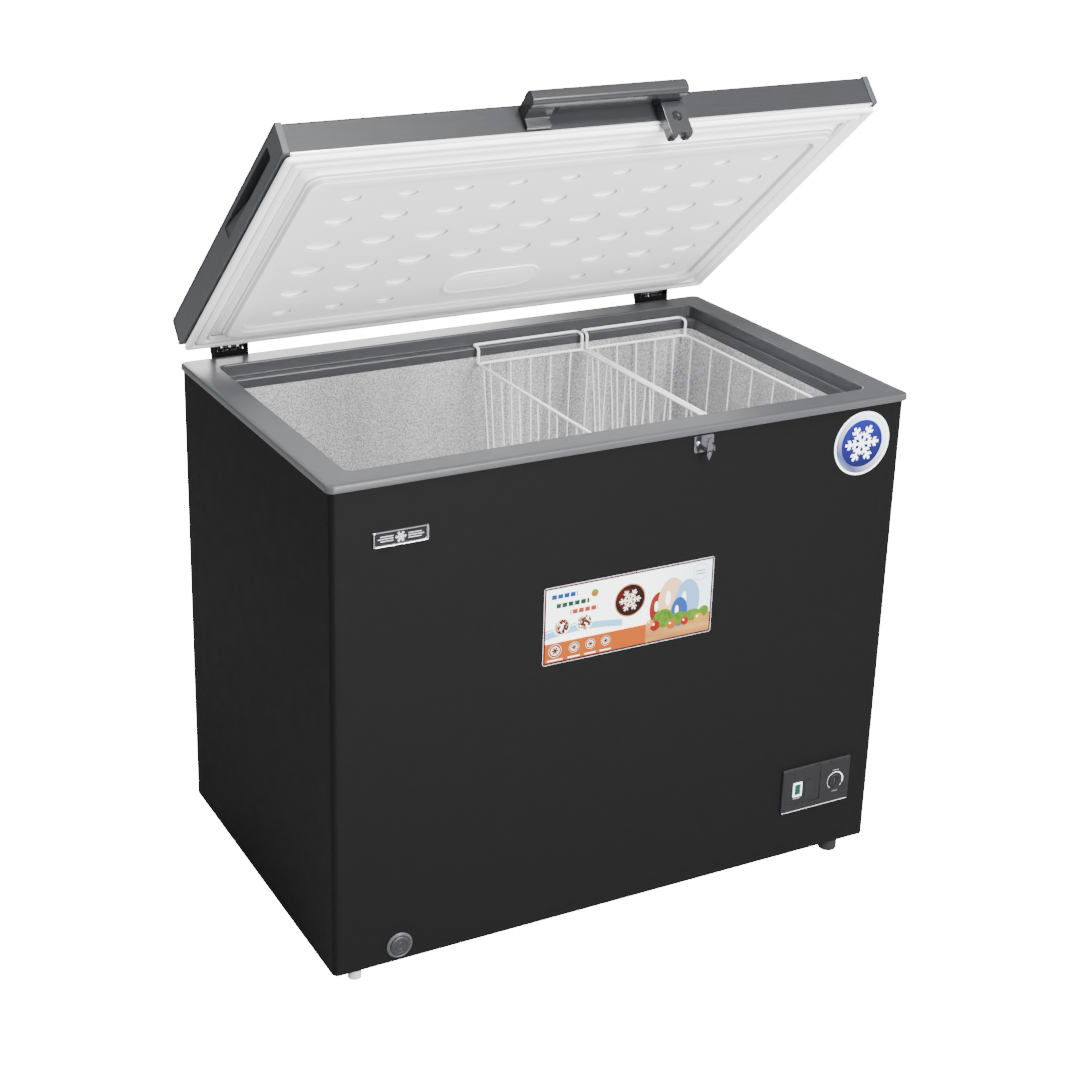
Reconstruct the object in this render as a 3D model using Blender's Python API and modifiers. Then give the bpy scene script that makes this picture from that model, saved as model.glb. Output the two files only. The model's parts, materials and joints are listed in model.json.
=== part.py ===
"""Chest freezer with a hinged lid, built as separate parts.

Metres, +Z up. The front faces -Y and +X runs to the right along it. The lid stands part open.
"""

import math

import bmesh
import bpy
from mathutils import Matrix, Vector

# Cabinet
RIM_WIDTH = 0.980
RIM_DEPTH = 0.610
RIM_TOP = 0.808
RIM_CORNER = 0.012
RIM_BAND = 0.047
RIM_OVERHANG = 0.0055
RIM_SKIRT = 0.0115
RIM_PLATE = 0.003
RIM_WALL = 0.0025
RIM_ROUND = 0.0015
RIM_DRAFT = 0.001
LEDGE_DROP = 0.021
LEDGE_FRONT_BACK = 0.021
LEDGE_SIDES = 0.007
LOWER_WALL_DROP = 0.015
FOOT_HEIGHT = 0.024
SHEET = 0.0008
BASE_SHEET = 0.0012
WRAP_CORNER = 0.009
CLEAR = 0.0003
RUN_CLEAR = 0.0005

# Inner tank and the compressor bay under its step
LINER_SHEET = 0.0008
LINER_FLOOR = 0.085
LINER_CORNER = 0.018
STEP_FLOOR = 0.335
STEP_WIDTH = 0.270
STEP_FOAM = 0.050
STEP_EDGE_DROP = LINER_CORNER * 0.3
TUBE_GAP = 0.009
EVAPORATOR_RADIUS = 0.0035
EVAPORATOR_TURNS = 5
CONDENSER_GAP = 0.0065
CONDENSER_RADIUS = 0.0025
CONDENSER_RUNS = 6
CONDENSER_BEND = 0.009
FOAM_CORNER = 0.006

# Lid, in its closed place
LID_GAP = 0.010
LID_HEIGHT = 0.048
LID_SKIN = 0.0007
LID_CORNER = 0.004
LID_OPEN = math.radians(41)
CAP_WIDTH = 0.010
CAP_PROUD = 0.0015
LINER_FLANGE = 0.0012
PLUG_BASE_INSET = 0.043
PLUG_SLOPE = 0.014
PLUG_DEPTH = 0.0195
PLUG_RIDGE = 0.017
FIELD_RISE = 0.007
FIELD_SLOPE = 0.005
GASKET_INSET = 0.004
GASKET_WIDTH = 0.034
GRIP_LENGTH = 0.236
GRIP_HEIGHT = 0.021
GRIP_DEPTH = 0.026
GRIP_FRONT = 0.046
GRIP_WALL = 0.003
BLANK_LENGTH = 0.172
BLANK_WIDTH = 0.076
BLANK_Y = 0.150

# Hinges
PIVOT_BEHIND = 0.0165
PIVOT_ABOVE = 0.028
HINGE_X = 0.400
HINGE_WIDTH = 0.058
HINGE_LEAF = 0.002
HINGE_DROP = 0.108
HINGE_EYE = 0.0075
PIN_RADIUS = 0.003
SPRING_WIRE = 0.0009
SPRING_TURNS = 5

# Handle and lock
HANDLE_LEFT = -0.1225
HANDLE_RIGHT = 0.1335
HANDLE_REACH = 0.048
BAR_DEPTH = 0.024
BAR_HEIGHT = 0.024
FOOT_WIDTH = 0.038
FOOT_PLATE = 0.008
LOCK_X = 0.1150
LOCK_WIDTH = 0.037
LOCK_REACH = 0.0205
LOCK_DROP = 0.0240
CLAW_DROP = 0.011
CYLINDER_RADIUS = 0.0060
HOOK_REACH = 0.0260
HOOK_TURN = 12
KEEPER_WIDTH = 0.034
KEEPER_HEIGHT = 0.027
KEEPER_TOP = 0.793
KEEPER_PLATE = 0.0015
KEEPER_REACH = 0.0200
TONGUE_WIDTH = 0.0080

# Baskets
BASKET_WIDTH = 0.207
BASKET_LENGTH = 0.456
BASKET_HEIGHT = 0.220
BASKET_TAPER = 0.012
BASKET_WALL = 0.003
BASKET_END_GAP = 0.012
BASKET_GAP = 0.0025
BASKET_FRAME_DROP = 0.0455
BASKET_WIRE = 0.0025

# Things on the front
PANEL_FROM_RIGHT = 0.116
PANEL_Z = 0.144
PANEL_WIDTH = 0.134
PANEL_HEIGHT = 0.080
PANEL_FACE = 0.004
PANEL_TUB = 0.018
KNOB_RADIUS = 0.0115
KNOB_FROM_CENTRE = 0.038
LAMP_FROM_CENTRE = 0.037
LAMP_WIDTH = 0.018
LAMP_HEIGHT = 0.026
DRAIN_FROM_LEFT = 0.112
DRAIN_Z = 0.051
DRAIN_RING = 0.021
DRAIN_CAP = 0.0165
DRAIN_BORE = 0.0065
DRAIN_WALL = 0.0020
DRAIN_EASE = 0.004
BADGE_FROM_LEFT = 0.111
BADGE_Z = 0.7165
BADGE_SIZE = (0.086, 0.0245)
LABEL_Z = 0.5295
LABEL_SIZE = (0.294, 0.125)
STICKER_FROM_RIGHT = 0.082
STICKER_Z = 0.7355
STICKER_RADIUS = 0.052
FILM = 0.0004

# Feet and the parts in the bay
FOOT_INSET_X = 0.0475
FOOT_INSET_Y = 0.026
LEVEL_FOOT_RADIUS = 0.0105
PAD_FOOT_RADIUS = 0.0155
SHELL_RADIUS = 0.072
SHELL_HEIGHT = 0.165
SHELL_STAND = 0.020
MOUNT_SPAN_X = 0.150
MOUNT_SPAN_Y = 0.170

# Worked out from the sizes above
HALF_X = RIM_WIDTH / 2
HALF_Y = RIM_DEPTH / 2
WRAP_X = HALF_X - RIM_OVERHANG
WRAP_Y = HALF_Y - RIM_OVERHANG
WRAP_TOP = RIM_TOP - RIM_PLATE - CLEAR
MOUTH_X = HALF_X - RIM_BAND - RIM_ROUND
MOUTH_Y = HALF_Y - RIM_BAND - RIM_ROUND
LEDGE_Z = RIM_TOP - LEDGE_DROP
TANK_X = MOUTH_X - RIM_DRAFT - LEDGE_SIDES
TANK_Y = MOUTH_Y - RIM_DRAFT - LEDGE_FRONT_BACK
TANK_TOP = LEDGE_Z - LOWER_WALL_DROP - CLEAR
BASE_TOP = FOOT_HEIGHT + BASE_SHEET
STEP_X = TANK_X - STEP_WIDTH
BAY_X = STEP_X + STEP_FOAM
BAY_TOP = STEP_FLOOR - STEP_FOAM
INSIDE_X = WRAP_X - SHEET
INSIDE_Y = WRAP_Y - SHEET
LID_BOTTOM = RIM_TOP + LID_GAP
LID_TOP = LID_BOTTOM + LID_HEIGHT
PIVOT_Y = HALF_Y + PIVOT_BEHIND
PIVOT_Z = RIM_TOP + PIVOT_ABOVE
HINGE_BACK = PIVOT_BEHIND + HINGE_EYE + 0.004
KEEPER_FRONT = KEEPER_REACH - RIM_OVERHANG
CABINET_Y = (KEEPER_FRONT - HINGE_BACK) / 2
LID_FACE = -HALF_Y
SKIN_X = HALF_X - CAP_WIDTH
BAR_TOP = LID_TOP - 0.002
BAR_BOTTOM = BAR_TOP - BAR_HEIGHT
PANEL_X = HALF_X - PANEL_FROM_RIGHT
DRAIN_X = DRAIN_FROM_LEFT - HALF_X
SHELL_X = (BAY_X + INSIDE_X) / 2 + 0.006
SHELL_Y = 0.055


# ---------------------------------------------------------------- helpers

def clear_scene():
    for obj in list(bpy.data.objects):
        bpy.data.objects.remove(obj, do_unlink=True)


def collection(name, hidden=False):
    made = bpy.data.collections.new(name)
    bpy.context.scene.collection.children.link(made)
    made.hide_render = hidden
    return made


def material(name, colour, roughness, metallic=0.0):
    made = bpy.data.materials.new(name)
    made.use_nodes = True
    shader = made.node_tree.nodes["Principled BSDF"]
    shader.inputs["Base Color"].default_value = (*colour, 1.0)
    shader.inputs["Roughness"].default_value = roughness
    shader.inputs["Metallic"].default_value = metallic
    return made


def add_object(name, data, finish, group, parent=None, place=(0, 0, 0)):
    """Links a new object; place is in the cabinet's coordinates, with the lid closed."""
    obj = bpy.data.objects.new(name, data)
    group.objects.link(obj)
    if finish:
        obj.data.materials.clear()
        obj.data.materials.append(finish)
    obj.location = place
    if parent:
        obj.parent = parent
        obj.location = Vector(place) - origin_of(parent)
    return obj


def origin_of(empty):
    """Where an empty stands in the cabinet's coordinates, with the lid closed."""
    place = Vector((0, 0, 0))
    while empty and empty.parent:
        place += empty.location
        empty = empty.parent
    return place


def add_empty(name, parent=None, place=(0, 0, 0)):
    obj = bpy.data.objects.new(name, None)
    bpy.context.scene.collection.objects.link(obj)
    obj.location = place
    if parent:
        obj.parent = parent
        obj.location = Vector(place) - origin_of(parent)
    return obj


def mesh_from(bm, name):
    data = bpy.data.meshes.new(name)
    bm.to_mesh(data)
    bm.free()
    return data


def smooth(obj, angle=35):
    obj.data.shade_smooth()
    obj.data.set_sharp_from_angle(angle=math.radians(angle))


def box(name, low, high, finish, group, parent=None, bevel=0.0):
    """A box between two corners, with its origin at its centre."""
    size = [b - a for a, b in zip(low, high)]
    centre = [(a + b) / 2 for a, b in zip(low, high)]
    bm = bmesh.new()
    bmesh.ops.create_cube(bm, size=1)
    bmesh.ops.scale(bm, vec=size, verts=bm.verts)
    obj = add_object(name, mesh_from(bm, name), finish, group, parent, centre)
    if bevel:
        edges = obj.modifiers.new("edges", "BEVEL")
        edges.width = bevel
        edges.segments = 2
    return obj


AXIS_TURN = {
    "X": Matrix.Rotation(math.pi / 2, 4, "Y"),
    "Y": Matrix.Rotation(-math.pi / 2, 4, "X"),
    "Z": Matrix.Identity(4),
}


def cylinder(name, radius, length, axis, centre, finish, group, parent=None, sides=24, top=None):
    """A cylinder or cone along an axis; top is the radius at the + end."""
    bm = bmesh.new()
    bmesh.ops.create_cone(bm, cap_ends=True, segments=sides, depth=length, radius1=radius,
                          radius2=radius if top is None else top, matrix=AXIS_TURN[axis])
    obj = add_object(name, mesh_from(bm, name), finish, group, parent, centre)
    smooth(obj)
    return obj


def turned(name, profile, axis, centre, finish, group, parent=None, sides=24):
    """A solid turned from (radius, height) points that run down its outer side."""
    bm = bmesh.new()
    points = [bm.verts.new((radius, 0, height)) for radius, height in profile]
    for first, second in zip(points, points[1:]):
        bm.edges.new((first, second))
    data = mesh_from(bm, name)
    obj = add_object(name, data, finish, group, parent, centre)
    obj.rotation_euler = AXIS_TURN[axis].to_euler()
    spin = obj.modifiers.new("spin", "SCREW")
    spin.steps = spin.render_steps = sides
    spin.use_merge_vertices = True
    spin.merge_threshold = 0.00005
    return obj


def arc(centre, radius, start, end, steps):
    """Points along an arc, angles in degrees."""
    angles = [math.radians(start + (end - start) * i / steps) for i in range(steps + 1)]
    return [(centre[0] + radius * math.cos(a), centre[1] + radius * math.sin(a)) for a in angles]


def rounded(half_x, half_y, radius, steps=4, centre=(0, 0)):
    """A rounded rectangle's outline, anticlockwise."""
    points = []
    for quarter, (sx, sy) in enumerate(((1, 1), (-1, 1), (-1, -1), (1, -1))):
        corner = (centre[0] + sx * (half_x - radius), centre[1] + sy * (half_y - radius))
        points += arc(corner, radius, 90 * quarter, 90 * quarter + 90, steps)
    return points


def front_rounded(half_x, low_y, high_y, radius, steps=4):
    """A rectangle's outline with only its two -Y corners rounded."""
    points = [(half_x, high_y), (-half_x, high_y)]
    points += arc((-half_x + radius, low_y + radius), radius, 180, 270, steps)
    return points + arc((half_x - radius, low_y + radius), radius, 270, 360, steps)


def ring(radius, sides, centre=(0, 0)):
    return arc(centre, radius, 0, 360 - 360 / sides, sides - 1)


FACING = {
    "-Y": (math.pi / 2, 0, 0),
    "+X": (math.pi / 2, 0, math.pi / 2),
    "+Z": (0, 0, 0),
}


def plate(name, outlines, thickness, facing, centre, finish, group, parent=None):
    """A flat outline, with holes, given a thickness: -Y shows it in XZ, +X in YZ and +Z in XY."""
    curve = bpy.data.curves.new(name, "CURVE")
    curve.dimensions = "2D"
    curve.fill_mode = "BOTH"
    curve.extrude = thickness / 2
    for outline in outlines:
        spline = curve.splines.new("POLY")
        spline.points.add(len(outline) - 1)
        for point, (x, y) in zip(spline.points, outline):
            point.co = (x, y, 0, 1)
        spline.use_cyclic_u = True
    obj = to_mesh(add_object(name, curve, None, group, parent, centre), finish)
    obj.rotation_euler = FACING[facing]
    return obj


def to_mesh(obj, finish, caps=0.00005):
    """Swaps a curve object for a welded mesh object in the same place."""
    bpy.context.view_layer.update()
    graph = bpy.context.evaluated_depsgraph_get()
    data = bpy.data.meshes.new_from_object(obj.evaluated_get(graph))
    bm = bmesh.new()
    bm.from_mesh(data)
    bmesh.ops.remove_doubles(bm, verts=bm.verts, dist=caps)
    bmesh.ops.recalc_face_normals(bm, faces=bm.faces)
    bm.to_mesh(data)
    bm.free()
    name, group, parent = obj.name, obj.users_collection[0], obj.parent
    turn, place = obj.rotation_euler.copy(), obj.location.copy()
    bpy.data.objects.remove(obj)
    data.name = name
    made = bpy.data.objects.new(name, data)
    group.objects.link(made)
    made.parent = parent
    made.rotation_euler = turn
    made.location = place
    data.materials.clear()
    if finish:
        data.materials.append(finish)
    return made


def wire(name, points, radius, finish, group, parent=None, place=(0, 0, 0), closed=False, resolution=2):
    """A bent rod or tube through points that are counted from place."""
    curve = bpy.data.curves.new(name, "CURVE")
    curve.dimensions = "3D"
    curve.bevel_depth = radius
    curve.bevel_resolution = resolution
    curve.use_fill_caps = not closed
    spline = curve.splines.new("POLY")
    spline.points.add(len(points) - 1)
    for point, co in zip(spline.points, points):
        point.co = (*co, 1)
    spline.use_cyclic_u = closed
    return add_object(name, curve, finish, group, parent, place)


def bent(points, radius, steps=3):
    """Rounds the corners of a 3D path with arcs of one radius."""
    path = [Vector(p) for p in points]
    out = [path[0]]
    for before, corner, after in zip(path, path[1:], path[2:]):
        a, b = (before - corner).normalized(), (after - corner).normalized()
        half = a.angle(b) / 2
        reach = radius / math.tan(half)
        middle = corner + (a + b).normalized() * (radius / math.sin(half))
        start = corner + a * reach - middle
        end = corner + b * reach - middle
        turn = [start.lerp(end, i / steps).normalized() * radius for i in range(steps + 1)]
        out += [middle + offset for offset in turn]
    return out + [path[-1]]


def lofted(name, loops, finish, group, parent=None, place=(0, 0, 0), closed=True):
    """Skins loops with equal point counts. closed joins the last to the first; otherwise both get a cap."""
    bm = bmesh.new()
    rows = [[bm.verts.new(p) for p in loop] for loop in loops]
    pairs = list(zip(rows, rows[1:]))
    if closed:
        pairs.append((rows[-1], rows[0]))
    for upper, lower in pairs:
        for i in range(len(upper)):
            j = (i + 1) % len(upper)
            bm.faces.new((upper[i], upper[j], lower[j], lower[i]))
    if not closed:
        bm.faces.new(rows[0])
        bm.faces.new(rows[-1])
    bmesh.ops.recalc_face_normals(bm, faces=bm.faces)
    return add_object(name, mesh_from(bm, name), finish, group, parent, place)


def frame_loop(half_x, half_y, z, radius, steps=4):
    return [(x, y, z) for x, y in rounded(half_x, half_y, radius, steps)]


def bent_sheet(name, path, low, high, thickness, finish, group, parent=None, axis="Z"):
    """A sheet that follows a path in the plane across the axis, thickened to the path's right."""
    bm = bmesh.new()
    verts = [bm.verts.new((a, b, low) if axis == "Z" else (low, a, b)) for a, b in path]
    edges = [bm.edges.new(pair) for pair in zip(verts, verts[1:])]
    swept = bmesh.ops.extrude_edge_only(bm, edges=edges)["geom"]
    moved = [v for v in swept if isinstance(v, bmesh.types.BMVert)]
    shift = (0, 0, high - low) if axis == "Z" else (high - low, 0, 0)
    bmesh.ops.translate(bm, vec=shift, verts=moved)
    obj = add_object(name, mesh_from(bm, name), finish, group, parent)
    wall = obj.modifiers.new("wall", "SOLIDIFY")
    wall.thickness = thickness
    wall.offset = 1
    wall.use_even_offset = True
    return obj


def cut(obj, *cutters):
    for cutter in cutters:
        cutter.display_type = "WIRE"
        cutter.hide_render = True
        step = obj.modifiers.new(cutter.name, "BOOLEAN")
        step.operation = "DIFFERENCE"
        step.object = cutter


def join(obj, *others):
    for other in others:
        other.display_type = "WIRE"
        other.hide_render = True
        step = obj.modifiers.new(other.name, "BOOLEAN")
        step.operation = "UNION"
        step.object = other


class Model:
    """Collections, pivots and finishes that every part uses."""

    def __init__(self):
        self.parts = collection("chest_freezer")
        self.cutters = collection("cutters", hidden=True)
        self.cabinet = add_empty("cabinet_origin", None, (0, CABINET_Y, 0))
        self.lid = add_empty("lid_pivot", self.cabinet, (0, PIVOT_Y, PIVOT_Z))
        self.black = material("black_paint", (0.012, 0.012, 0.013), 0.35, 0.1)
        self.rim_grey = material("rim_grey", (0.155, 0.158, 0.168), 0.42)
        self.steel_grey = material("brushed_grey", (0.16, 0.162, 0.168), 0.38, 0.5)
        self.liner = material("embossed_aluminium", (0.72, 0.73, 0.75), 0.32, 0.9)
        self.white = material("white_liner", (0.80, 0.81, 0.83), 0.35)
        self.soft_white = material("gasket_white", (0.82, 0.82, 0.83), 0.6)
        self.foam = material("foam", (0.75, 0.68, 0.42), 0.9)
        self.zinc = material("zinc", (0.60, 0.61, 0.63), 0.35, 0.9)
        self.chrome = material("chrome", (0.78, 0.78, 0.80), 0.1, 1.0)
        self.copper = material("copper", (0.72, 0.36, 0.22), 0.35, 0.95)
        self.dark = material("dark_plastic", (0.035, 0.036, 0.040), 0.5)
        self.rubber = material("rubber", (0.02, 0.02, 0.02), 0.85)
        self.coated_wire = material("white_coated_wire", (0.85, 0.85, 0.86), 0.3)
        self.green = material("green_lens", (0.03, 0.42, 0.28), 0.15)
        self.light_grey = material("light_grey_plastic", (0.55, 0.55, 0.56), 0.5)
        self.paper = material("label_film", (0.85, 0.85, 0.85), 0.4)

    def block(self, name, low, high):
        """A cutter box on the cabinet."""
        return box(name, low, high, None, self.cutters, self.cabinet)

    def lid_block(self, name, low, high):
        """A cutter box on the lid."""
        return box(name, low, high, None, self.cutters, self.lid)


# ---------------------------------------------------------------- cabinet

def build_wrapper(m):
    """Left side, front and right side, folded from one sheet."""
    r = WRAP_CORNER
    path = [(-WRAP_X, WRAP_Y)]
    path += arc((-WRAP_X + r, -WRAP_Y + r), r, 180, 270, 4)
    path += arc((WRAP_X - r, -WRAP_Y + r), r, 270, 360, 4)
    path += [(WRAP_X, WRAP_Y)]
    wrapper = bent_sheet("cabinet_wrapper", path, FOOT_HEIGHT, WRAP_TOP, SHEET, m.black, m.parts, m.cabinet)
    panel_x, panel_z = PANEL_WIDTH / 2 - 0.005 + CLEAR, PANEL_HEIGHT / 2 - 0.005 + CLEAR
    cut(
        wrapper,
        m.block("panel_hole", (PANEL_X - panel_x, -WRAP_Y - 0.01, PANEL_Z - panel_z),
                (PANEL_X + panel_x, -WRAP_Y + 0.01, PANEL_Z + panel_z)),
        cylinder("drain_hole", DRAIN_BORE + DRAIN_WALL + CLEAR, 0.02, "Y", (DRAIN_X, -WRAP_Y, DRAIN_Z),
                 None, m.cutters, m.cabinet),
        m.block("side_vent_hole", (WRAP_X - 0.01, -0.105 + CLEAR, 0.0605),
                (WRAP_X + 0.01, 0.105 - CLEAR, 0.2195)),
    )


def build_rear_and_base(m):
    edge_x = INSIDE_X - CLEAR
    rear = box("rear_panel", (-edge_x, WRAP_Y - SHEET, FOOT_HEIGHT), (edge_x, WRAP_Y, WRAP_TOP),
               m.black, m.parts, m.cabinet)
    cut(
        rear,
        m.block("bay_back_hole", (BAY_X + 0.012, WRAP_Y - 0.01, BASE_TOP + 0.012),
                (INSIDE_X - 0.018, WRAP_Y + 0.01, BAY_TOP - 0.012)),
    )
    outline = front_rounded(edge_x, -INSIDE_Y + CLEAR, WRAP_Y - SHEET - CLEAR, WRAP_CORNER - SHEET)
    plate("base_plate", [outline], BASE_SHEET, "+Z", (0, 0, FOOT_HEIGHT + BASE_SHEET / 2), m.zinc,
          m.parts, m.cabinet)


def build_rim(m):
    """The plastic frame that caps the walls: skirt, flat band, basket ledge and lower lip."""
    top_edge = RIM_TOP - 2 * RIM_ROUND
    under = RIM_TOP - RIM_PLATE
    ledge_under = LEDGE_Z - RIM_WALL
    tank_out_x, tank_out_y = TANK_X + RIM_WALL, TANK_Y + RIM_WALL
    wall_out_x, wall_out_y = MOUTH_X + RIM_ROUND, MOUTH_Y + RIM_ROUND
    lip = TANK_TOP + CLEAR
    skirt = RIM_TOP - RIM_SKIRT
    profile = [
        (HALF_X, HALF_Y, skirt, RIM_CORNER),
        (HALF_X, HALF_Y, top_edge, RIM_CORNER),
        (HALF_X - RIM_ROUND, HALF_Y - RIM_ROUND, RIM_TOP, RIM_CORNER),
        (MOUTH_X + RIM_ROUND, MOUTH_Y + RIM_ROUND, RIM_TOP, LINER_CORNER),
        (MOUTH_X, MOUTH_Y, RIM_TOP - RIM_ROUND, LINER_CORNER),
        (MOUTH_X - RIM_DRAFT, MOUTH_Y - RIM_DRAFT, LEDGE_Z, LINER_CORNER),
        (tank_out_x, tank_out_y, LEDGE_Z, LINER_CORNER),
        (TANK_X, TANK_Y, ledge_under, LINER_CORNER),
        (TANK_X, TANK_Y, lip, LINER_CORNER),
        (tank_out_x, tank_out_y, lip, LINER_CORNER),
        (tank_out_x, tank_out_y, ledge_under, LINER_CORNER),
        (wall_out_x, wall_out_y, ledge_under, LINER_CORNER),
        (wall_out_x, wall_out_y, under, LINER_CORNER),
        (WRAP_X + CLEAR, WRAP_Y + CLEAR, under, CLEAR),
        (WRAP_X + CLEAR, WRAP_Y + CLEAR, skirt, CLEAR),
    ]
    loops = [frame_loop(*row) for row in profile]
    smooth(lofted("top_rim", loops, m.rim_grey, m.parts, m.cabinet))


def build_liner(m):
    """Open aluminium tank with a raised step over the compressor bay."""
    bm = bmesh.new()
    corners = [(-TANK_X, TANK_TOP), (-TANK_X, LINER_FLOOR), (STEP_X, LINER_FLOOR),
               (STEP_X, STEP_FLOOR), (TANK_X, STEP_FLOOR), (TANK_X, TANK_TOP)]
    verts = [bm.verts.new((x, -TANK_Y, z)) for x, z in corners]
    side = bm.faces.new(verts)
    swept = bmesh.ops.extrude_face_region(bm, geom=[side])["geom"]
    far_side = [v for v in swept if isinstance(v, bmesh.types.BMVert)]
    bmesh.ops.translate(bm, vec=(0, 2 * TANK_Y, 0), verts=far_side)
    open_top = [f for f in bm.faces if all(v.co.z > TANK_TOP - 1e-6 for v in f.verts)]
    bmesh.ops.delete(bm, geom=open_top, context="FACES_ONLY")
    bmesh.ops.recalc_face_normals(bm, faces=bm.faces)
    folds = [e for e in bm.edges if len(e.link_faces) == 2]
    bmesh.ops.bevel(bm, geom=folds, offset=LINER_CORNER, segments=3, affect="EDGES", profile=0.5,
                    material=-1)
    liner = add_object("inner_liner", mesh_from(bm, "inner_liner"), m.liner, m.parts, m.cabinet)
    wall = liner.modifiers.new("wall", "SOLIDIFY")
    wall.thickness = LINER_SHEET
    wall.offset = 1
    smooth(liner)
    cut(liner, cylinder("floor_drain_hole", DRAIN_BORE, 0.02, "Z", (DRAIN_X, drain_bend_y(), LINER_FLOOR),
                        None, m.cutters, m.cabinet))


def drain_bend_y():
    """Where the drain turns down from the tank's floor, counted from the front."""
    return -TANK_Y + 0.045


def build_foam(m):
    """Insulation between the walls and the tank, open over the bay and for the drain."""
    gap = LINER_SHEET + TUBE_GAP
    out_x, out_y = INSIDE_X - CONDENSER_GAP, INSIDE_Y - CONDENSER_GAP
    low, high = BASE_TOP + CLEAR, WRAP_TOP - CLEAR
    outline = front_rounded(out_x, -out_y, INSIDE_Y - CLEAR, FOAM_CORNER)
    foam = plate("insulation_foam", [outline], high - low, "+Z", (0, 0, (low + high) / 2), m.foam, m.parts,
                 m.cabinet)
    floor = LINER_FLOOR - LINER_SHEET - CLEAR
    step_floor = STEP_FLOOR - LINER_SHEET - CLEAR
    high = RIM_TOP + 0.05
    ledge = LEDGE_Z - RIM_WALL - CLEAR
    drain = DRAIN_BORE + DRAIN_WALL + CLEAR
    cut(
        foam,
        m.block("tank_low", (-TANK_X - gap, -TANK_Y - gap, floor), (STEP_X + gap, TANK_Y + gap, high)),
        m.block("tank_high", (STEP_X, -TANK_Y - gap, step_floor),
                (TANK_X + gap, TANK_Y + gap, high + 0.01)),
        m.block("rim_seat", (-MOUTH_X - RIM_ROUND - CLEAR, -MOUTH_Y - RIM_ROUND - CLEAR, ledge),
                (MOUTH_X + RIM_ROUND + CLEAR, MOUTH_Y + RIM_ROUND + CLEAR, high + 0.02)),
        m.block("bay", (BAY_X, -WRAP_Y - 0.02, FOOT_HEIGHT - 0.02),
                (WRAP_X + 0.02, WRAP_Y + 0.02, BAY_TOP)),
        m.block("drain_run", (DRAIN_X - drain, -WRAP_Y - 0.02, DRAIN_Z - drain),
                (DRAIN_X + drain, drain_bend_y() + drain, DRAIN_Z + drain)),
        m.block("step_edge", (STEP_X + 0.001, -TANK_Y - gap, STEP_FLOOR - STEP_EDGE_DROP),
                (STEP_X + LINER_CORNER + 0.001, TANK_Y + gap, high + 0.03)),
        m.block("drain_drop", (DRAIN_X - drain, drain_bend_y() - drain - DRAIN_EASE, DRAIN_Z),
                (DRAIN_X + drain, drain_bend_y() + drain - 0.0001, LINER_FLOOR + 0.02)),
    )


def build_tubes(m):
    """Evaporator round the tank, condenser inside the outer walls."""
    x = TANK_X + LINER_SHEET + TUBE_GAP / 2
    y = TANK_Y + LINER_SHEET + TUBE_GAP / 2
    low, high = STEP_FLOOR + 0.02, TANK_TOP - 0.03
    pitch = (high - low) / EVAPORATOR_TURNS
    corner = rounded(x, y, 0.015, 2)
    count = len(corner)
    points = [(*corner[i % count], low + pitch * i / count) for i in range(EVAPORATOR_TURNS * count)]
    wire("evaporator_tube", points, EVAPORATOR_RADIUS, m.zinc, m.parts, m.cabinet, resolution=1)
    x = INSIDE_X - CONDENSER_GAP / 2
    y = -INSIDE_Y + CONDENSER_GAP / 2
    back = INSIDE_Y - 0.06
    low, high = BAY_TOP + 0.03, WRAP_TOP - 0.06
    rise = (high - low) / (CONDENSER_RUNS - 1)
    path = []
    for run in range(CONDENSER_RUNS):
        z = low + run * rise
        sweep = [(-x, back, z), (-x, y, z), (x, y, z), (x, back, z)]
        path += sweep if run % 2 == 0 else sweep[::-1]
    wire("condenser_tube", bent(path, CONDENSER_BEND, 2), CONDENSER_RADIUS, m.copper, m.parts, m.cabinet,
         resolution=1)


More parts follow.
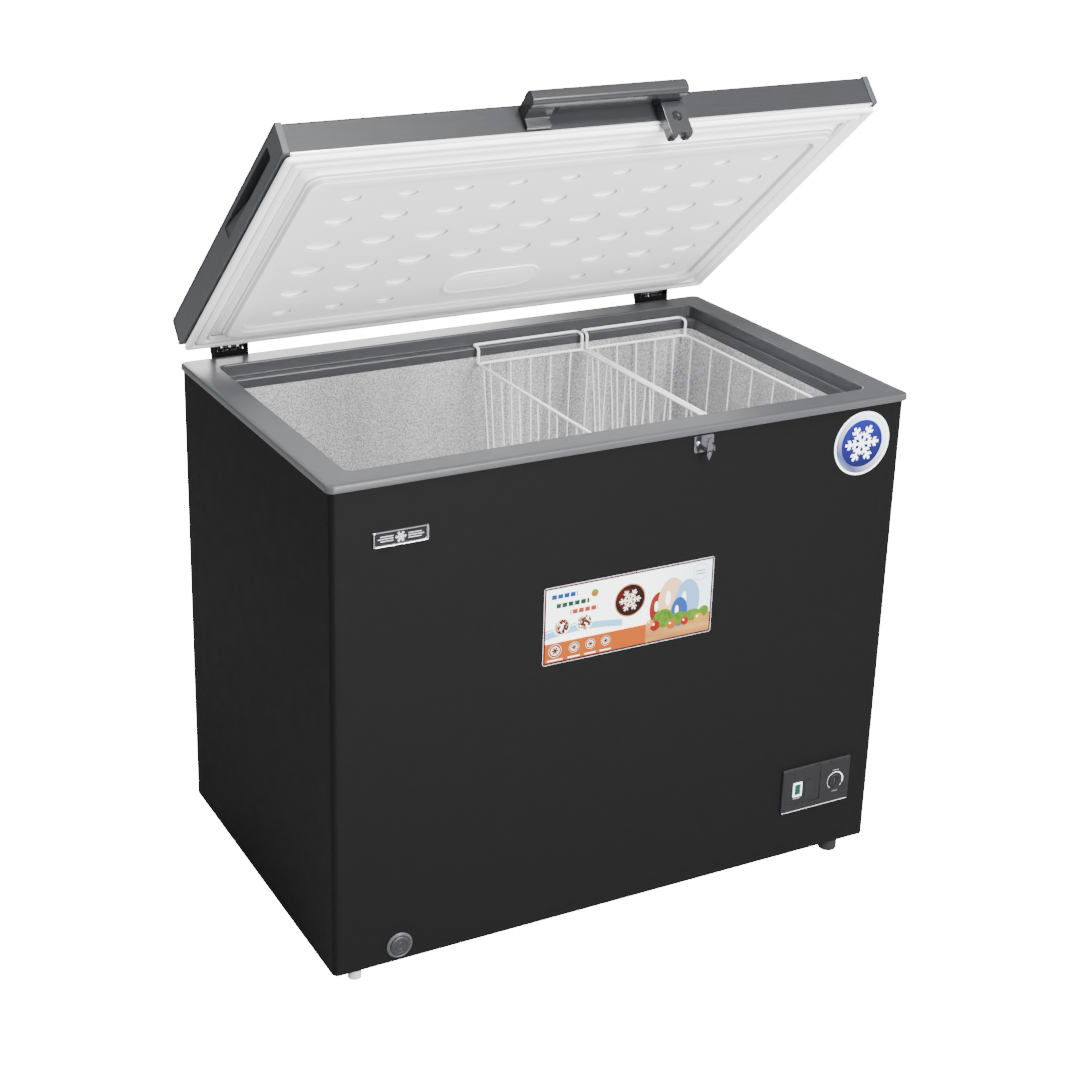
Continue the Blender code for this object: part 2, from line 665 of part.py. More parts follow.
def build_drain(m):
    """Tube from the tank's floor to the front, its collar, its outer cap and its inner plug."""
    front = -WRAP_Y
    bend = drain_bend_y()
    top = LINER_FLOOR - LINER_SHEET - CLEAR
    path = bent([(0, front - DRAIN_CAP / 8, 0), (0, bend, 0), (0, bend, top - DRAIN_Z)], 0.012, 3)
    tube = wire("drain_tube", path, DRAIN_BORE + DRAIN_WALL / 2, None, m.parts, m.cabinet,
                (DRAIN_X, 0, DRAIN_Z), resolution=3)
    tube.data.use_fill_caps = False
    tube = to_mesh(tube, m.light_grey)
    wall = tube.modifiers.new("wall", "SOLIDIFY")
    wall.thickness = DRAIN_WALL - CLEAR
    wall.offset = 0
    collar_in = DRAIN_BORE + DRAIN_WALL + CLEAR
    depth = 0.004
    collar = plate("drain_collar", [ring(DRAIN_RING, 32), ring(collar_in, 32)[::-1]], depth, "-Y",
                   (DRAIN_X, front - CLEAR - depth / 2, DRAIN_Z), m.rim_grey, m.parts, m.cabinet)
    seat = depth - 0.0015
    cut(collar, cylinder("cap_seat", DRAIN_CAP + RUN_CLEAR, depth, "Y",
                         (DRAIN_X, front - CLEAR - depth / 2 - (depth - seat), DRAIN_Z), None,
                         m.cutters, m.cabinet, sides=32))
    smooth(collar)
    face = 0.0035
    plug = 0.012
    bore = DRAIN_BORE - RUN_CLEAR
    cap_back = front - CLEAR - (depth - seat) - RUN_CLEAR
    pull = add_empty("drain_cap_pull", m.cabinet, (DRAIN_X, cap_back, DRAIN_Z))
    turned("drain_cap", [(0, plug), (bore - 0.001, plug), (bore, plug - 0.001), (bore, 0), (DRAIN_CAP, 0),
                         (DRAIN_CAP, 0.001 - face), (DRAIN_CAP - 0.001, -face), (0, -face)],
           "Y", (DRAIN_X, cap_back, DRAIN_Z), m.rim_grey, m.parts, pull, 32)
    floor = LINER_FLOOR + CLEAR
    lift = add_empty("drain_plug_lift", m.cabinet, (DRAIN_X, bend, floor))
    turned("drain_plug", [(0, 0.012), (0.006, 0.012), (0.006, 0.004), (0.013, 0.002), (0.013, 0), (bore, 0),
                          (bore, -0.010), (bore - 0.001, -0.011), (0, -0.011)],
           "Z", (DRAIN_X, bend, floor), m.white, m.parts, lift)


def build_feet(m):
    """Two screwed levelling feet on the left, two black pads on the right."""
    top = FOOT_HEIGHT - CLEAR
    for side, sign in (("front", -1), ("back", 1)):
        y = sign * (HALF_Y - FOOT_INSET_Y)
        r = LEVEL_FOOT_RADIUS
        profile = [(0, top), (0.006, top), (0.006, 0.014), (r - 0.001, 0.014), (r, 0.013), (r, 0.001),
                   (r - 0.001, 0), (0, 0)]
        turned(f"levelling_foot_{side}", profile, "Z",
               (-HALF_X + FOOT_INSET_X, y, 0), m.light_grey, m.parts, m.cabinet)
        r = PAD_FOOT_RADIUS
        turned(f"pad_foot_{side}", [(0, top), (r, top), (r, 0.003), (r - 0.003, 0), (0, 0)],
               "Z", (HALF_X - FOOT_INSET_X - r, y, 0), m.rubber, m.parts, m.cabinet)


def build_panel(m):
    """Control panel with its lamp, blank and thermostat dial."""
    front = -WRAP_Y
    face_y = front - PANEL_FACE - CLEAR
    knob_x = PANEL_X + KNOB_FROM_CENTRE
    lamp_x = PANEL_X - LAMP_FROM_CENTRE
    half_w, half_h = PANEL_WIDTH / 2, PANEL_HEIGHT / 2
    face = plate("control_panel", [rounded(half_w, half_h, 0.004)], PANEL_FACE, "-Y",
                 (PANEL_X, front - CLEAR - PANEL_FACE / 2, PANEL_Z), m.dark, m.parts, m.cabinet)
    tub = m.block("panel_tub", (PANEL_X - half_w + 0.005, front - CLEAR - 0.001, PANEL_Z - half_h + 0.005),
                  (PANEL_X + half_w - 0.005, front + PANEL_TUB, PANEL_Z + half_h - 0.005))
    join(face, tub)
    inset = 0.005 + 0.002
    cut(
        face,
        m.block("panel_hollow", (PANEL_X - half_w + inset, front - CLEAR, PANEL_Z - half_h + inset),
                (PANEL_X + half_w - inset, front + PANEL_TUB + 0.01, PANEL_Z + half_h - inset)),
        cylinder("knob_hole", KNOB_RADIUS + RUN_CLEAR, 0.02, "Y", (knob_x, face_y, PANEL_Z), None,
                 m.cutters, m.cabinet, sides=32),
        m.block("lamp_hole", (lamp_x - LAMP_WIDTH / 2, face_y - 0.01, PANEL_Z - LAMP_HEIGHT / 2),
                (lamp_x + LAMP_WIDTH / 2, face_y + 0.01, PANEL_Z + LAMP_HEIGHT / 2)),
    )
    rim = 0.003
    frame_depth = 0.008
    frame_w, frame_h = LAMP_WIDTH / 2 - CLEAR, LAMP_HEIGHT / 2 - CLEAR
    frame_y = face_y - 0.0008
    window = rounded(frame_w - rim, frame_h - rim, 0.0005, 2)[::-1]
    plate("lamp_frame", [rounded(frame_w, frame_h, 0.001, 2), window], frame_depth, "-Y",
          (lamp_x, frame_y + frame_depth / 2, PANEL_Z), m.white, m.parts, m.cabinet)
    lens_w, lens_h = frame_w - rim - CLEAR, frame_h - rim - CLEAR
    box("lamp_lens", (lamp_x - lens_w, frame_y + 0.001, PANEL_Z - lens_h),
        (lamp_x + lens_w, frame_y + frame_depth, PANEL_Z + lens_h), m.green, m.parts, m.cabinet, 0.0005)
    box("switch_blank", (PANEL_X - 0.020, face_y - CLEAR - 0.0012, PANEL_Z - 0.018),
        (PANEL_X + 0.012, face_y - CLEAR, PANEL_Z + 0.018), m.dark, m.parts, m.cabinet, 0.0005)
    knob = add_empty("thermostat_axis", m.cabinet, (knob_x, face_y, PANEL_Z))
    profile = [(0, 0.016), (0.003, 0.016), (0.003, 0.006), (KNOB_RADIUS, 0.006), (KNOB_RADIUS, -0.0005),
               (KNOB_RADIUS - 0.001, -0.0015), (0, -0.0015)]
    dial = turned("thermostat_dial", profile, "Y", (knob_x, face_y, PANEL_Z), m.dark, m.parts, knob,
                  32)
    slot = box("coin_slot", (knob_x - 0.001, face_y - 0.003, PANEL_Z - 0.008),
               (knob_x + 0.001, face_y + 0.001, PANEL_Z + 0.008), None, m.cutters, knob)
    cut(dial, slot)
    back = face_y + 0.016 + RUN_CLEAR
    box("thermostat_body", (knob_x - 0.020, back, PANEL_Z - 0.016),
        (knob_x + 0.020, back + 0.030, PANEL_Z + 0.016), m.zinc, m.parts, m.cabinet, 0.002)


def build_front_marks(m):
    """Blank badge, plain printed label and a round sticker."""
    face = -WRAP_Y - CLEAR
    badge_x = BADGE_FROM_LEFT - HALF_X
    half_w, half_h = BADGE_SIZE[0] / 2, BADGE_SIZE[1] / 2
    deep = 0.003
    badge = plate("badge_plate", [rounded(half_w, half_h, 0.002, 2)], deep, "-Y",
                  (badge_x, face - deep / 2, BADGE_Z), m.chrome, m.parts, m.cabinet)
    edge = 0.0015
    cut(badge, m.block("badge_inset", (badge_x - half_w + edge, face - deep - 0.01, BADGE_Z - half_h + edge),
                       (badge_x + half_w - edge, face - deep + 0.001, BADGE_Z + half_h - edge)))
    half_w, half_h = LABEL_SIZE[0] / 2, LABEL_SIZE[1] / 2
    plate("front_label", [rounded(half_w, half_h, 0.002, 2)], FILM, "-Y", (0, face - FILM / 2, LABEL_Z),
          m.paper, m.parts, m.cabinet)
    plate("round_sticker", [ring(STICKER_RADIUS, 40)], FILM, "-Y",
          (HALF_X - STICKER_FROM_RIGHT, face - FILM / 2, STICKER_Z), m.paper, m.parts, m.cabinet)


def build_keeper(m):
    """Striker on the front: plate and the notched tongue that the lock's hook catches."""
    face = -WRAP_Y - CLEAR
    bottom = KEEPER_TOP - KEEPER_HEIGHT
    plate_y = face - KEEPER_PLATE / 2
    half_w, half_h = KEEPER_WIDTH / 2, KEEPER_HEIGHT / 2
    keeper = plate("keeper_plate", [rounded(half_w, half_h, 0.003, 2)], KEEPER_PLATE, "-Y",
                   (LOCK_X, plate_y, bottom + half_h), m.chrome, m.parts, m.cabinet)
    tongue_y = tongue_place()
    thick = 0.002
    neck = m.block("tongue_neck", (LOCK_X - TONGUE_WIDTH / 2, tongue_y, bottom + 0.004),
                   (LOCK_X + TONGUE_WIDTH / 2, face - KEEPER_PLATE / 2, bottom + 0.007))
    half = TONGUE_WIDTH / 2
    outline = [(-half, bottom), (0, bottom - 0.009), (half, bottom), (half, KEEPER_TOP), (-half, KEEPER_TOP)]
    blade = plate("tongue_blade", [outline], thick, "-Y", (LOCK_X, tongue_y, 0), None, m.cutters,
                  m.cabinet)
    join(keeper, neck, blade)
    notch_low, notch_high = notch_heights()
    cut(keeper, m.block("tongue_notch", (LOCK_X - TONGUE_WIDTH / 2 - 0.001, tongue_y - 0.005, notch_low),
                        (LOCK_X + TONGUE_WIDTH / 2 - 0.003, tongue_y + 0.004, notch_high)))
    nose = -WRAP_Y - KEEPER_REACH
    join(keeper, m.block("tongue_nose", (LOCK_X - TONGUE_WIDTH / 2 + 0.001, nose, bottom + 0.004),
                         (LOCK_X + TONGUE_WIDTH / 2 - 0.001, tongue_y, bottom + 0.0065)))


def tongue_place():
    """The Y of the keeper's blade, which is also the hook's."""
    return -HALF_Y - 0.0105


def cylinder_z():
    """Height of the lock cylinder's axis with the lid closed."""
    return LID_BOTTOM - 0.003


def notch_heights():
    """Lowest and highest Z of the notch in the keeper's blade."""
    middle = cylinder_z() - HOOK_REACH
    return middle - 0.0025, middle + 0.0025


# ---------------------------------------------------------------- compressor bay

def build_bay(m):
    """Compressor with its mounts, pipes and covers."""
    plate_z = BASE_TOP + SHELL_STAND
    half_x, half_y = MOUNT_SPAN_X / 2, MOUNT_SPAN_Y / 2
    pads = [(sx * half_x, sy * half_y) for sx in (-1, 1) for sy in (-1, 1)]
    stem = 0.006
    holes = [ring(stem + CLEAR, 16, pad)[::-1] for pad in pads]
    plate("compressor_mount", [rounded(half_x + 0.012, half_y + 0.012, 0.012), *holes], 0.003, "+Z",
          (SHELL_X, SHELL_Y, plate_z), m.dark, m.parts, m.cabinet)
    for number, (px, py) in enumerate(pads, 1):
        low = plate_z - 0.0015 - CLEAR - BASE_TOP
        profile = [(0, low + 0.010), (stem, low + 0.010), (stem, low), (0.011, low), (0.011, CLEAR),
                   (0, CLEAR)]
        turned(f"compressor_grommet_{number}", profile, "Z",
               (SHELL_X + px, SHELL_Y + py, BASE_TOP), m.rubber, m.parts, m.cabinet, 16)
    r = SHELL_RADIUS
    dome = [(r * math.cos(a), SHELL_HEIGHT - 0.05 + 0.05 * math.sin(a)) for a in
            [math.radians(90 - 15 * i) for i in range(7)]]
    dome[0] = (0, SHELL_HEIGHT)
    bowl = [(r * 0.98, 0.045), (r * 0.90, 0.020), (r * 0.70, 0.004), (r * 0.45, 0), (0, 0)]
    shell_z = plate_z + 0.0015 + CLEAR
    seam = [(r, 0.075), (r + 0.003, 0.074), (r + 0.003, 0.068), (r, 0.067)]
    turned("compressor_shell", dome + seam + bowl, "Z", (SHELL_X, SHELL_Y, shell_z), m.dark, m.parts,
           m.cabinet, 28)
    box("relay_cover", (SHELL_X - 0.030, SHELL_Y - r - 0.036, shell_z + 0.050),
        (SHELL_X + 0.030, SHELL_Y - r - 0.0035, shell_z + 0.105), m.dark, m.parts, m.cabinet, 0.003)
    top = shell_z + SHELL_HEIGHT
    drier_x = BAY_X + 0.020
    profile = [(0, 0.045), (0.004, 0.045), (0.009, 0.036), (0.009, -0.036), (0.004, -0.045), (0, -0.045)]
    turned("filter_drier", profile, "Z", (drier_x, -0.12, 0.16), m.copper, m.parts, m.cabinet, 16)
    start = (SHELL_X - r - 0.006, SHELL_Y, shell_z + 0.085)
    wire("suction_tube", bent([start, (drier_x, SHELL_Y, start[2]), (drier_x, SHELL_Y, top + 0.012),
                               (drier_x, INSIDE_Y - 0.05, top + 0.012)], 0.010), 0.004,
         m.copper, m.parts, m.cabinet, resolution=1)
    start = (SHELL_X - r * 0.4, SHELL_Y - r - 0.006, shell_z + 0.035)
    wire("discharge_tube", bent([start, (start[0], -0.12, start[2]), (drier_x, -0.12, start[2]),
                                 (drier_x, -0.12, 0.16 - 0.045 - 0.0005)], 0.010), 0.003,
         m.copper, m.parts, m.cabinet, resolution=1)
    build_covers(m)


def louvres(half_w, half_h, pitch, slot, columns):
    """Slot outlines in rows across a grille."""
    rows = int((2 * half_h - 0.02) / pitch)
    width = (2 * half_w - 0.02) / columns
    out = []
    for row in range(rows):
        y = (row - (rows - 1) / 2) * pitch
        for column in range(columns):
            x = (column - (columns - 1) / 2) * width
            w, h = width / 2 - 0.004, slot / 2
            out.append([(x - w, y - h), (x - w, y + h), (x + w, y + h), (x + w, y - h)])
    return out


def build_covers(m):
    """Plastic side grille and steel rear cover, both with slots, and the supply lead's bush."""
    grille_z = 0.140
    half_w, half_h = 0.112, 0.0865
    thick = 0.003
    slots = louvres(half_w - 0.008, half_h, 0.013, 0.0035, 2)
    plate("side_grille", [rounded(half_w, half_h, 0.005, 2), *slots], thick, "+X",
          (WRAP_X + CLEAR + thick / 2, 0, grille_z), m.dark, m.parts, m.cabinet)
    low_x, high_x = BAY_X + 0.004, INSIDE_X - 0.008
    half_w, half_h = (high_x - low_x) / 2, (BAY_TOP - BASE_TOP) / 2 - 0.003
    centre_x, centre_z = (low_x + high_x) / 2, (BAY_TOP + BASE_TOP) / 2
    bush = (-half_w + 0.035, -half_h + 0.030)
    bush_hole = 0.008
    slots = louvres(half_w - 0.01, half_h, 0.022, 0.0035, 2)
    above = [slot for slot in slots if slot[0][1] > bush[1] + 0.012]
    hole = ring(bush_hole, 16, bush)[::-1]
    plate("rear_cover", [rounded(half_w, half_h, 0.004, 2), hole, *above], 0.001, "-Y",
          (centre_x, WRAP_Y + CLEAR + 0.0005, centre_z), m.black, m.parts, m.cabinet)
    outer = bush_hole - CLEAR
    profile = [(0.0045, 0.0045), (0.010, 0.0045), (0.010, 0.0015), (outer, 0.0014), (outer, -0.008),
               (0.0045, -0.008), (0.0045, 0.0045)]
    turned("supply_bush", profile, "Y", (centre_x + bush[0], WRAP_Y + CLEAR, centre_z + bush[1]), m.rubber,
           m.parts, m.cabinet, 20)


# ---------------------------------------------------------------- lid

def build_lid_skin(m):
    """Steel sheet folded down at the front and the back."""
    r = LID_CORNER
    y = HALF_Y
    path = [(-y, LID_BOTTOM + 0.0015)]
    path += arc((-y + r, LID_TOP - r), r, 180, 90, 3)
    path += arc((y - r, LID_TOP - r), r, 90, 0, 3)
    path += [(y, LID_BOTTOM + 0.0015)]
    edge = SKIN_X - CLEAR
    skin = bent_sheet("lid_skin", path, -edge, edge, LID_SKIN, m.steel_grey, m.parts, m.lid, axis="X")
    skin.modifiers["wall"].offset = -1


def build_lid_body(m):
    """Lid liner with its plug, insulation, gasket and the blank over the lamp place."""
    edge_x, edge_y = SKIN_X - 0.002, HALF_Y - LID_SKIN - CLEAR
    flange = LID_BOTTOM - 0.0005
    base_x, base_y = HALF_X - PLUG_BASE_INSET, HALF_Y - PLUG_BASE_INSET
    ridge_x, ridge_y = base_x - PLUG_SLOPE, base_y - PLUG_SLOPE
    in_x, in_y = ridge_x - PLUG_RIDGE, ridge_y - PLUG_RIDGE
    field_x, field_y = in_x - FIELD_SLOPE, in_y - FIELD_SLOPE
    low = flange - PLUG_DEPTH
    field = low + FIELD_RISE
    r = 0.020
    t = LINER_FLANGE
    under = [(field_x, field_y, field, r), (in_x, in_y, low, r), (ridge_x, ridge_y, low, r),
             (base_x, base_y, flange, r), (edge_x, edge_y, flange, 0.004)]
    over = [(edge_x, edge_y, flange + t, 0.004), (base_x - t, base_y - t, flange + t, r),
            (ridge_x - t, ridge_y - t, low + t, r), (in_x + t, in_y + t, low + t, r),
            (field_x + t, field_y + t, field + t, r)]
    loops = [frame_loop(*row) for row in under + over]
    lofted("lid_liner", loops, m.white, m.parts, m.lid, closed=False)
    foam_low = flange + t + CLEAR
    foam_top = LID_TOP - LID_SKIN - CLEAR
    foam_x = SKIN_X - 0.004
    foam = box("lid_foam", (-foam_x, -edge_y, foam_low), (foam_x, edge_y, foam_top), m.foam, m.parts, m.lid)
    pocket = GRIP_DEPTH + GRIP_WALL + 0.001
    low_y, high_y, low_z, high_z = grip_box()
    wall = GRIP_WALL + CLEAR
    for side, sign in (("left", -1), ("right", 1)):
        xs = sorted((sign * HALF_X, sign * (HALF_X - pocket)))
        cut(foam, m.lid_block(f"grip_space_{side}", (xs[0], low_y - wall, low_z - wall),
                              (xs[1], high_y + wall, high_z + wall)))
    bevel = foam.modifiers.new("corners", "BEVEL")
    bevel.width = LID_CORNER
    bevel.segments = 2
    foam.modifiers.move(len(foam.modifiers) - 1, 0)
    build_gasket(m, flange)
    pad = 0.0022
    outline = rounded(BLANK_LENGTH / 2, BLANK_WIDTH / 2, BLANK_WIDTH / 2 - 0.001, 6)
    plate("lamp_blank", [outline], pad, "+Z", (0, BLANK_Y, field - CLEAR - pad / 2), m.white, m.parts, m.lid)


def build_gasket(m, flange):
    """Magnetic seal round the underside of the lid."""
    out_x, out_y = HALF_X - GASKET_INSET, HALF_Y - GASKET_INSET
    in_x, in_y = out_x - GASKET_WIDTH, out_y - GASKET_WIDTH
    top, bottom = flange - CLEAR, RIM_TOP + CLEAR
    mid_z = (top + bottom) / 2
    inset = 0.0025
    profile = [(out_x - inset, out_y - inset, top), (out_x, out_y, mid_z),
               (out_x - inset, out_y - inset, bottom), (in_x + inset, in_y + inset, bottom),
               (in_x, in_y, mid_z), (in_x + inset, in_y + inset, top)]
    loops = [frame_loop(x, y, z, 0.006, 3) for x, y, z in profile]
    lofted("lid_gasket", loops, m.soft_white, m.parts, m.lid)


def grip_box():
    """The grip recess in the closed lid: low Y, high Y, low Z, high Z."""
    low_y = -HALF_Y + GRIP_FRONT
    low_z = LID_BOTTOM + 0.020
    return low_y, low_y + GRIP_LENGTH, low_z, low_z + GRIP_HEIGHT


def build_caps(m):
    """Plastic end caps, each with a cup that makes the side grip."""
    low_y, high_y, low_z, high_z = grip_box()
    half_y = HALF_Y + CAP_PROUD
    low, high = LID_BOTTOM, LID_TOP + CAP_PROUD
    outline = rounded(half_y, (high - low) / 2, 0.004, 3, (0, (high + low) / 2))
    for side, sign in (("left", -1), ("right", 1)):
        inner = sign * SKIN_X
        cap = plate(f"end_cap_{side}", [outline], CAP_WIDTH, "+X", (inner + sign * CAP_WIDTH / 2, 0, 0),
                    m.rim_grey, m.parts, m.lid)
        wall = GRIP_WALL
        xs = sorted((sign * (HALF_X - 0.002), sign * (HALF_X - GRIP_DEPTH - wall)))
        cup = m.lid_block(f"grip_cup_{side}", (xs[0], low_y - wall, low_z - wall),
                          (xs[1], high_y + wall, high_z + wall))
        xs = sorted((sign * (HALF_X + 0.01), sign * (HALF_X - GRIP_DEPTH)))
        pocket = m.lid_block(f"grip_pocket_{side}", (xs[0], low_y, low_z), (xs[1], high_y, high_z))
        join(cap, cup)
        cut(cap, pocket)


def build_handle(m):
    """Grab bar with its left leg and the right-hand block over the lock."""
    front = LID_FACE - HANDLE_REACH
    back = front + BAR_DEPTH
    r = BAR_HEIGHT / 2
    section = [(back, BAR_TOP - 0.002), *arc((front + r, BAR_TOP - r), r, 90, 270, 8),
               (back, BAR_BOTTOM + 0.002)]
    length = HANDLE_RIGHT - HANDLE_LEFT
    bar = plate("handle", [section], length, "+X", ((HANDLE_LEFT + HANDLE_RIGHT) / 2, 0, 0), m.rim_grey,
                m.parts, m.lid)
    face = LID_FACE - CLEAR
    foot_low = LID_BOTTOM + 0.003
    foot_high = foot_low + 0.016
    leg = [(face, foot_low), (face, BAR_TOP - 0.003), (back - 0.004, BAR_TOP - 0.001),
           (front + r, BAR_TOP - 0.001), (front + 0.002, BAR_BOTTOM + r), (front + 0.006, BAR_BOTTOM + 0.001),
           (face - FOOT_PLATE, foot_high), (face - FOOT_PLATE, foot_low)]
    left = plate("handle_leg", [leg], FOOT_WIDTH, "+X", (HANDLE_LEFT + FOOT_WIDTH / 2 + 0.0001, 0, 0), None,
                 m.cutters, m.lid)
    block = [(face, BAR_BOTTOM + 0.001), (face, BAR_TOP - 0.003), (back - 0.004, BAR_TOP - 0.001),
             (front + r, BAR_TOP - 0.002), (front + r, BAR_BOTTOM + 0.001)]
    right = plate("handle_block", [block], LOCK_WIDTH, "+X", (LOCK_X - 0.0001, 0, 0), None, m.cutters, m.lid)
    join(bar, left, right)


def build_lock(m):
    """Lock housing under the bar, with its cylinder and hook, and the two claws beside the keeper."""
    top = BAR_BOTTOM - CLEAR
    low = LID_BOTTOM - LOCK_DROP
    back, hang_back = LID_FACE - CLEAR, LID_FACE - 0.0025
    front = LID_FACE - LOCK_REACH
    z_axis = cylinder_z()
    section = [(front, low), (front, top), (back, top), (back, LID_BOTTOM + 0.002),
               (hang_back, LID_BOTTOM - 0.001), (hang_back, low)]
    housing = plate("lock_housing", [section], LOCK_WIDTH, "+X", (LOCK_X, 0, 0), m.rim_grey, m.parts, m.lid)
    half = LOCK_WIDTH / 2
    claw = 0.0095
    claws = []
    for side, sign in (("left", -1), ("right", 1)):
        xs = sorted((LOCK_X + sign * (half - 0.0003), LOCK_X + sign * (half - claw)))
        claws.append(m.lid_block(f"claw_{side}", (xs[0], front + 0.003, low - CLAW_DROP),
                                 (xs[1], hang_back - 0.0005, low + 0.002)))
    join(housing, *claws)
    hook_y = tongue_place()
    blade_half = TONGUE_WIDTH / 2 + 0.0012
    space = m.lid_block("hook_space", (LOCK_X - half + 0.0012, hook_y - 0.0020, low - 0.02),
                        (LOCK_X + 0.0060, hook_y + 0.0020, z_axis + 0.0060))
    slot = m.lid_block("tongue_slot", (LOCK_X - blade_half, hook_y - 0.006, low - 0.02),
                       (LOCK_X + blade_half, hang_back + 0.004, KEEPER_TOP + 0.0030))
    bore = cylinder("lock_bore", CYLINDER_RADIUS + RUN_CLEAR, 0.03, "Y", (LOCK_X, hook_y - 0.0150, z_axis),
                    None, m.cutters, m.lid)
    cut(housing, space, slot, bore)
    turn = add_empty("lock_axis", m.lid, (LOCK_X, front, z_axis))
    start, end = front - 0.0006, hook_y - 0.0010 - CLEAR
    barrel = cylinder("lock_cylinder", CYLINDER_RADIUS, end - start, "Y", (LOCK_X, (start + end) / 2, z_axis),
                      m.chrome, m.parts, turn)
    cut(barrel, box("key_slot", (LOCK_X - 0.0006, front - 0.002, z_axis - 0.0032),
                    (LOCK_X + 0.0006, front + 0.004, z_axis + 0.0032), None, m.cutters, turn))
    swing = add_empty("hook_axis", m.lid, (LOCK_X, hook_y, z_axis))
    tip, stem_low, stem_high = HOOK_REACH, -0.0115, -0.0075
    hook = [(-0.001, 0.0050), (-0.0050, 0.0030), (stem_low, -0.0060), (stem_low, -tip - 0.0015),
            (-0.0010, -tip - 0.0015), (-0.0010, -tip + 0.0012), (stem_high, -tip + 0.0012),
            (stem_high, -0.0070), (0.0040, -0.0030), (0.0045, 0.0020)]
    turned_back = Matrix.Rotation(math.radians(HOOK_TURN), 2).transposed()
    outline = [tuple(turned_back @ Vector(point)) for point in hook]
    plate("lock_hook", [outline], 0.002, "-Y", (LOCK_X, hook_y, z_axis), m.zinc, m.parts, swing)


# ---------------------------------------------------------------- hinges

def build_hinges(m):
    """Both hinges."""
    for side, sign in (("left", -1), ("right", 1)):
        build_hinge(m, side, sign * HINGE_X)


def build_hinge(m, side, x):
    """Cabinet bracket with two cheeks, lid leaf with two eyes, a pin and a coil spring."""
    half = HINGE_WIDTH / 2
    leaf = HINGE_LEAF
    wall_y = WRAP_Y + CLEAR
    plate_y = HALF_Y + 0.0006
    low = RIM_TOP - HINGE_DROP
    pad_top = RIM_TOP - RIM_SKIRT - 0.0035
    top = RIM_TOP + 0.007
    section = [(wall_y, low), (wall_y, pad_top), (plate_y, pad_top + 0.001), (plate_y, top),
               (plate_y + leaf, top), (plate_y + leaf, low)]
    base = plate(f"hinge_base_{side}", [section], HINGE_WIDTH, "+X", (x, 0, 0), m.black, m.parts,
                 m.cabinet)
    eye = HINGE_EYE
    back = PIVOT_Y + eye + 0.004
    cheek = [(plate_y, top - 0.030), (plate_y, top + 0.012), (PIVOT_Y - 0.004, PIVOT_Z + eye),
             (PIVOT_Y + 0.004, PIVOT_Z + eye), (back, PIVOT_Z), (back, PIVOT_Z - 0.012),
             (plate_y + leaf, top - 0.045)]
    for end in (-1, 1):
        name = f"cheek_{side}_{'a' if end < 0 else 'b'}"
        join(base, plate(name, [cheek], leaf, "+X", (x + end * (half - leaf / 2 - 0.0001), 0, 0), None,
                         m.cutters, m.cabinet))
    bore = cylinder(f"base_bore_{side}", PIN_RADIUS + 0.0002, HINGE_WIDTH + 0.02, "X",
                    (x, PIVOT_Y, PIVOT_Z), None, m.cutters, m.cabinet)
    cut(base, bore)
    arm_half = half - leaf - RUN_CLEAR
    lid_back = HALF_Y + CLEAR
    arm_y = lid_back + leaf
    arm_low, arm_high = LID_BOTTOM + 0.003, LID_TOP - 0.006
    arm = box(f"hinge_arm_{side}", (x - arm_half, lid_back, arm_low), (x + arm_half, arm_y, arm_high),
              m.zinc, m.parts, m.lid)
    ear = [(lid_back + 0.0005, PIVOT_Z - 0.010), (lid_back + 0.0005, PIVOT_Z + 0.014),
           *arc((PIVOT_Y, PIVOT_Z), eye - 0.001, 90, -90, 6)]
    ears = []
    for end in (-1, 1):
        name = f"ear_{side}_{'a' if end < 0 else 'b'}"
        ear_x = x + end * (arm_half - leaf / 2 - 0.0001)
        ears.append(plate(name, [ear[::-1]], leaf, "+X", (ear_x, 0, 0), None, m.cutters, m.lid))
    join(arm, *ears)
    arm_bore = cylinder(f"arm_bore_{side}", PIN_RADIUS + 0.0002, HINGE_WIDTH + 0.02, "X",
                        (x, PIVOT_Y, PIVOT_Z), None, m.cutters, m.lid)
    cut(arm, arm_bore)
    cylinder(f"hinge_pin_{side}", PIN_RADIUS, HINGE_WIDTH + 0.002, "X", (x, PIVOT_Y, PIVOT_Z), m.zinc,
             m.parts, m.cabinet, sides=20)
    inner = arm_half - leaf - 0.001
    coil = PIN_RADIUS + CLEAR + SPRING_WIRE + 0.0004
    steps = 8
    count = SPRING_TURNS * steps
    points = [(-inner + 0.0012 + (2 * inner - 0.0024) * i / count, coil * math.cos(math.tau * i / steps),
               coil * math.sin(math.tau * i / steps)) for i in range(count + 1)]
    wire(f"hinge_spring_{side}", points, SPRING_WIRE, m.chrome, m.parts, m.cabinet,
         (x, PIVOT_Y, PIVOT_Z), resolution=0)


# ---------------------------------------------------------------- baskets

def build_baskets(m):
    """Two hanging baskets, each with a raised hook at the front and the back."""
    right_edge = TANK_X - BASKET_END_GAP
    for side, steps in (("right", 0), ("left", 1)):
        centre = right_edge - BASKET_WIDTH / 2 - steps * (BASKET_WIDTH + BASKET_GAP)
        build_basket(m, side, centre)


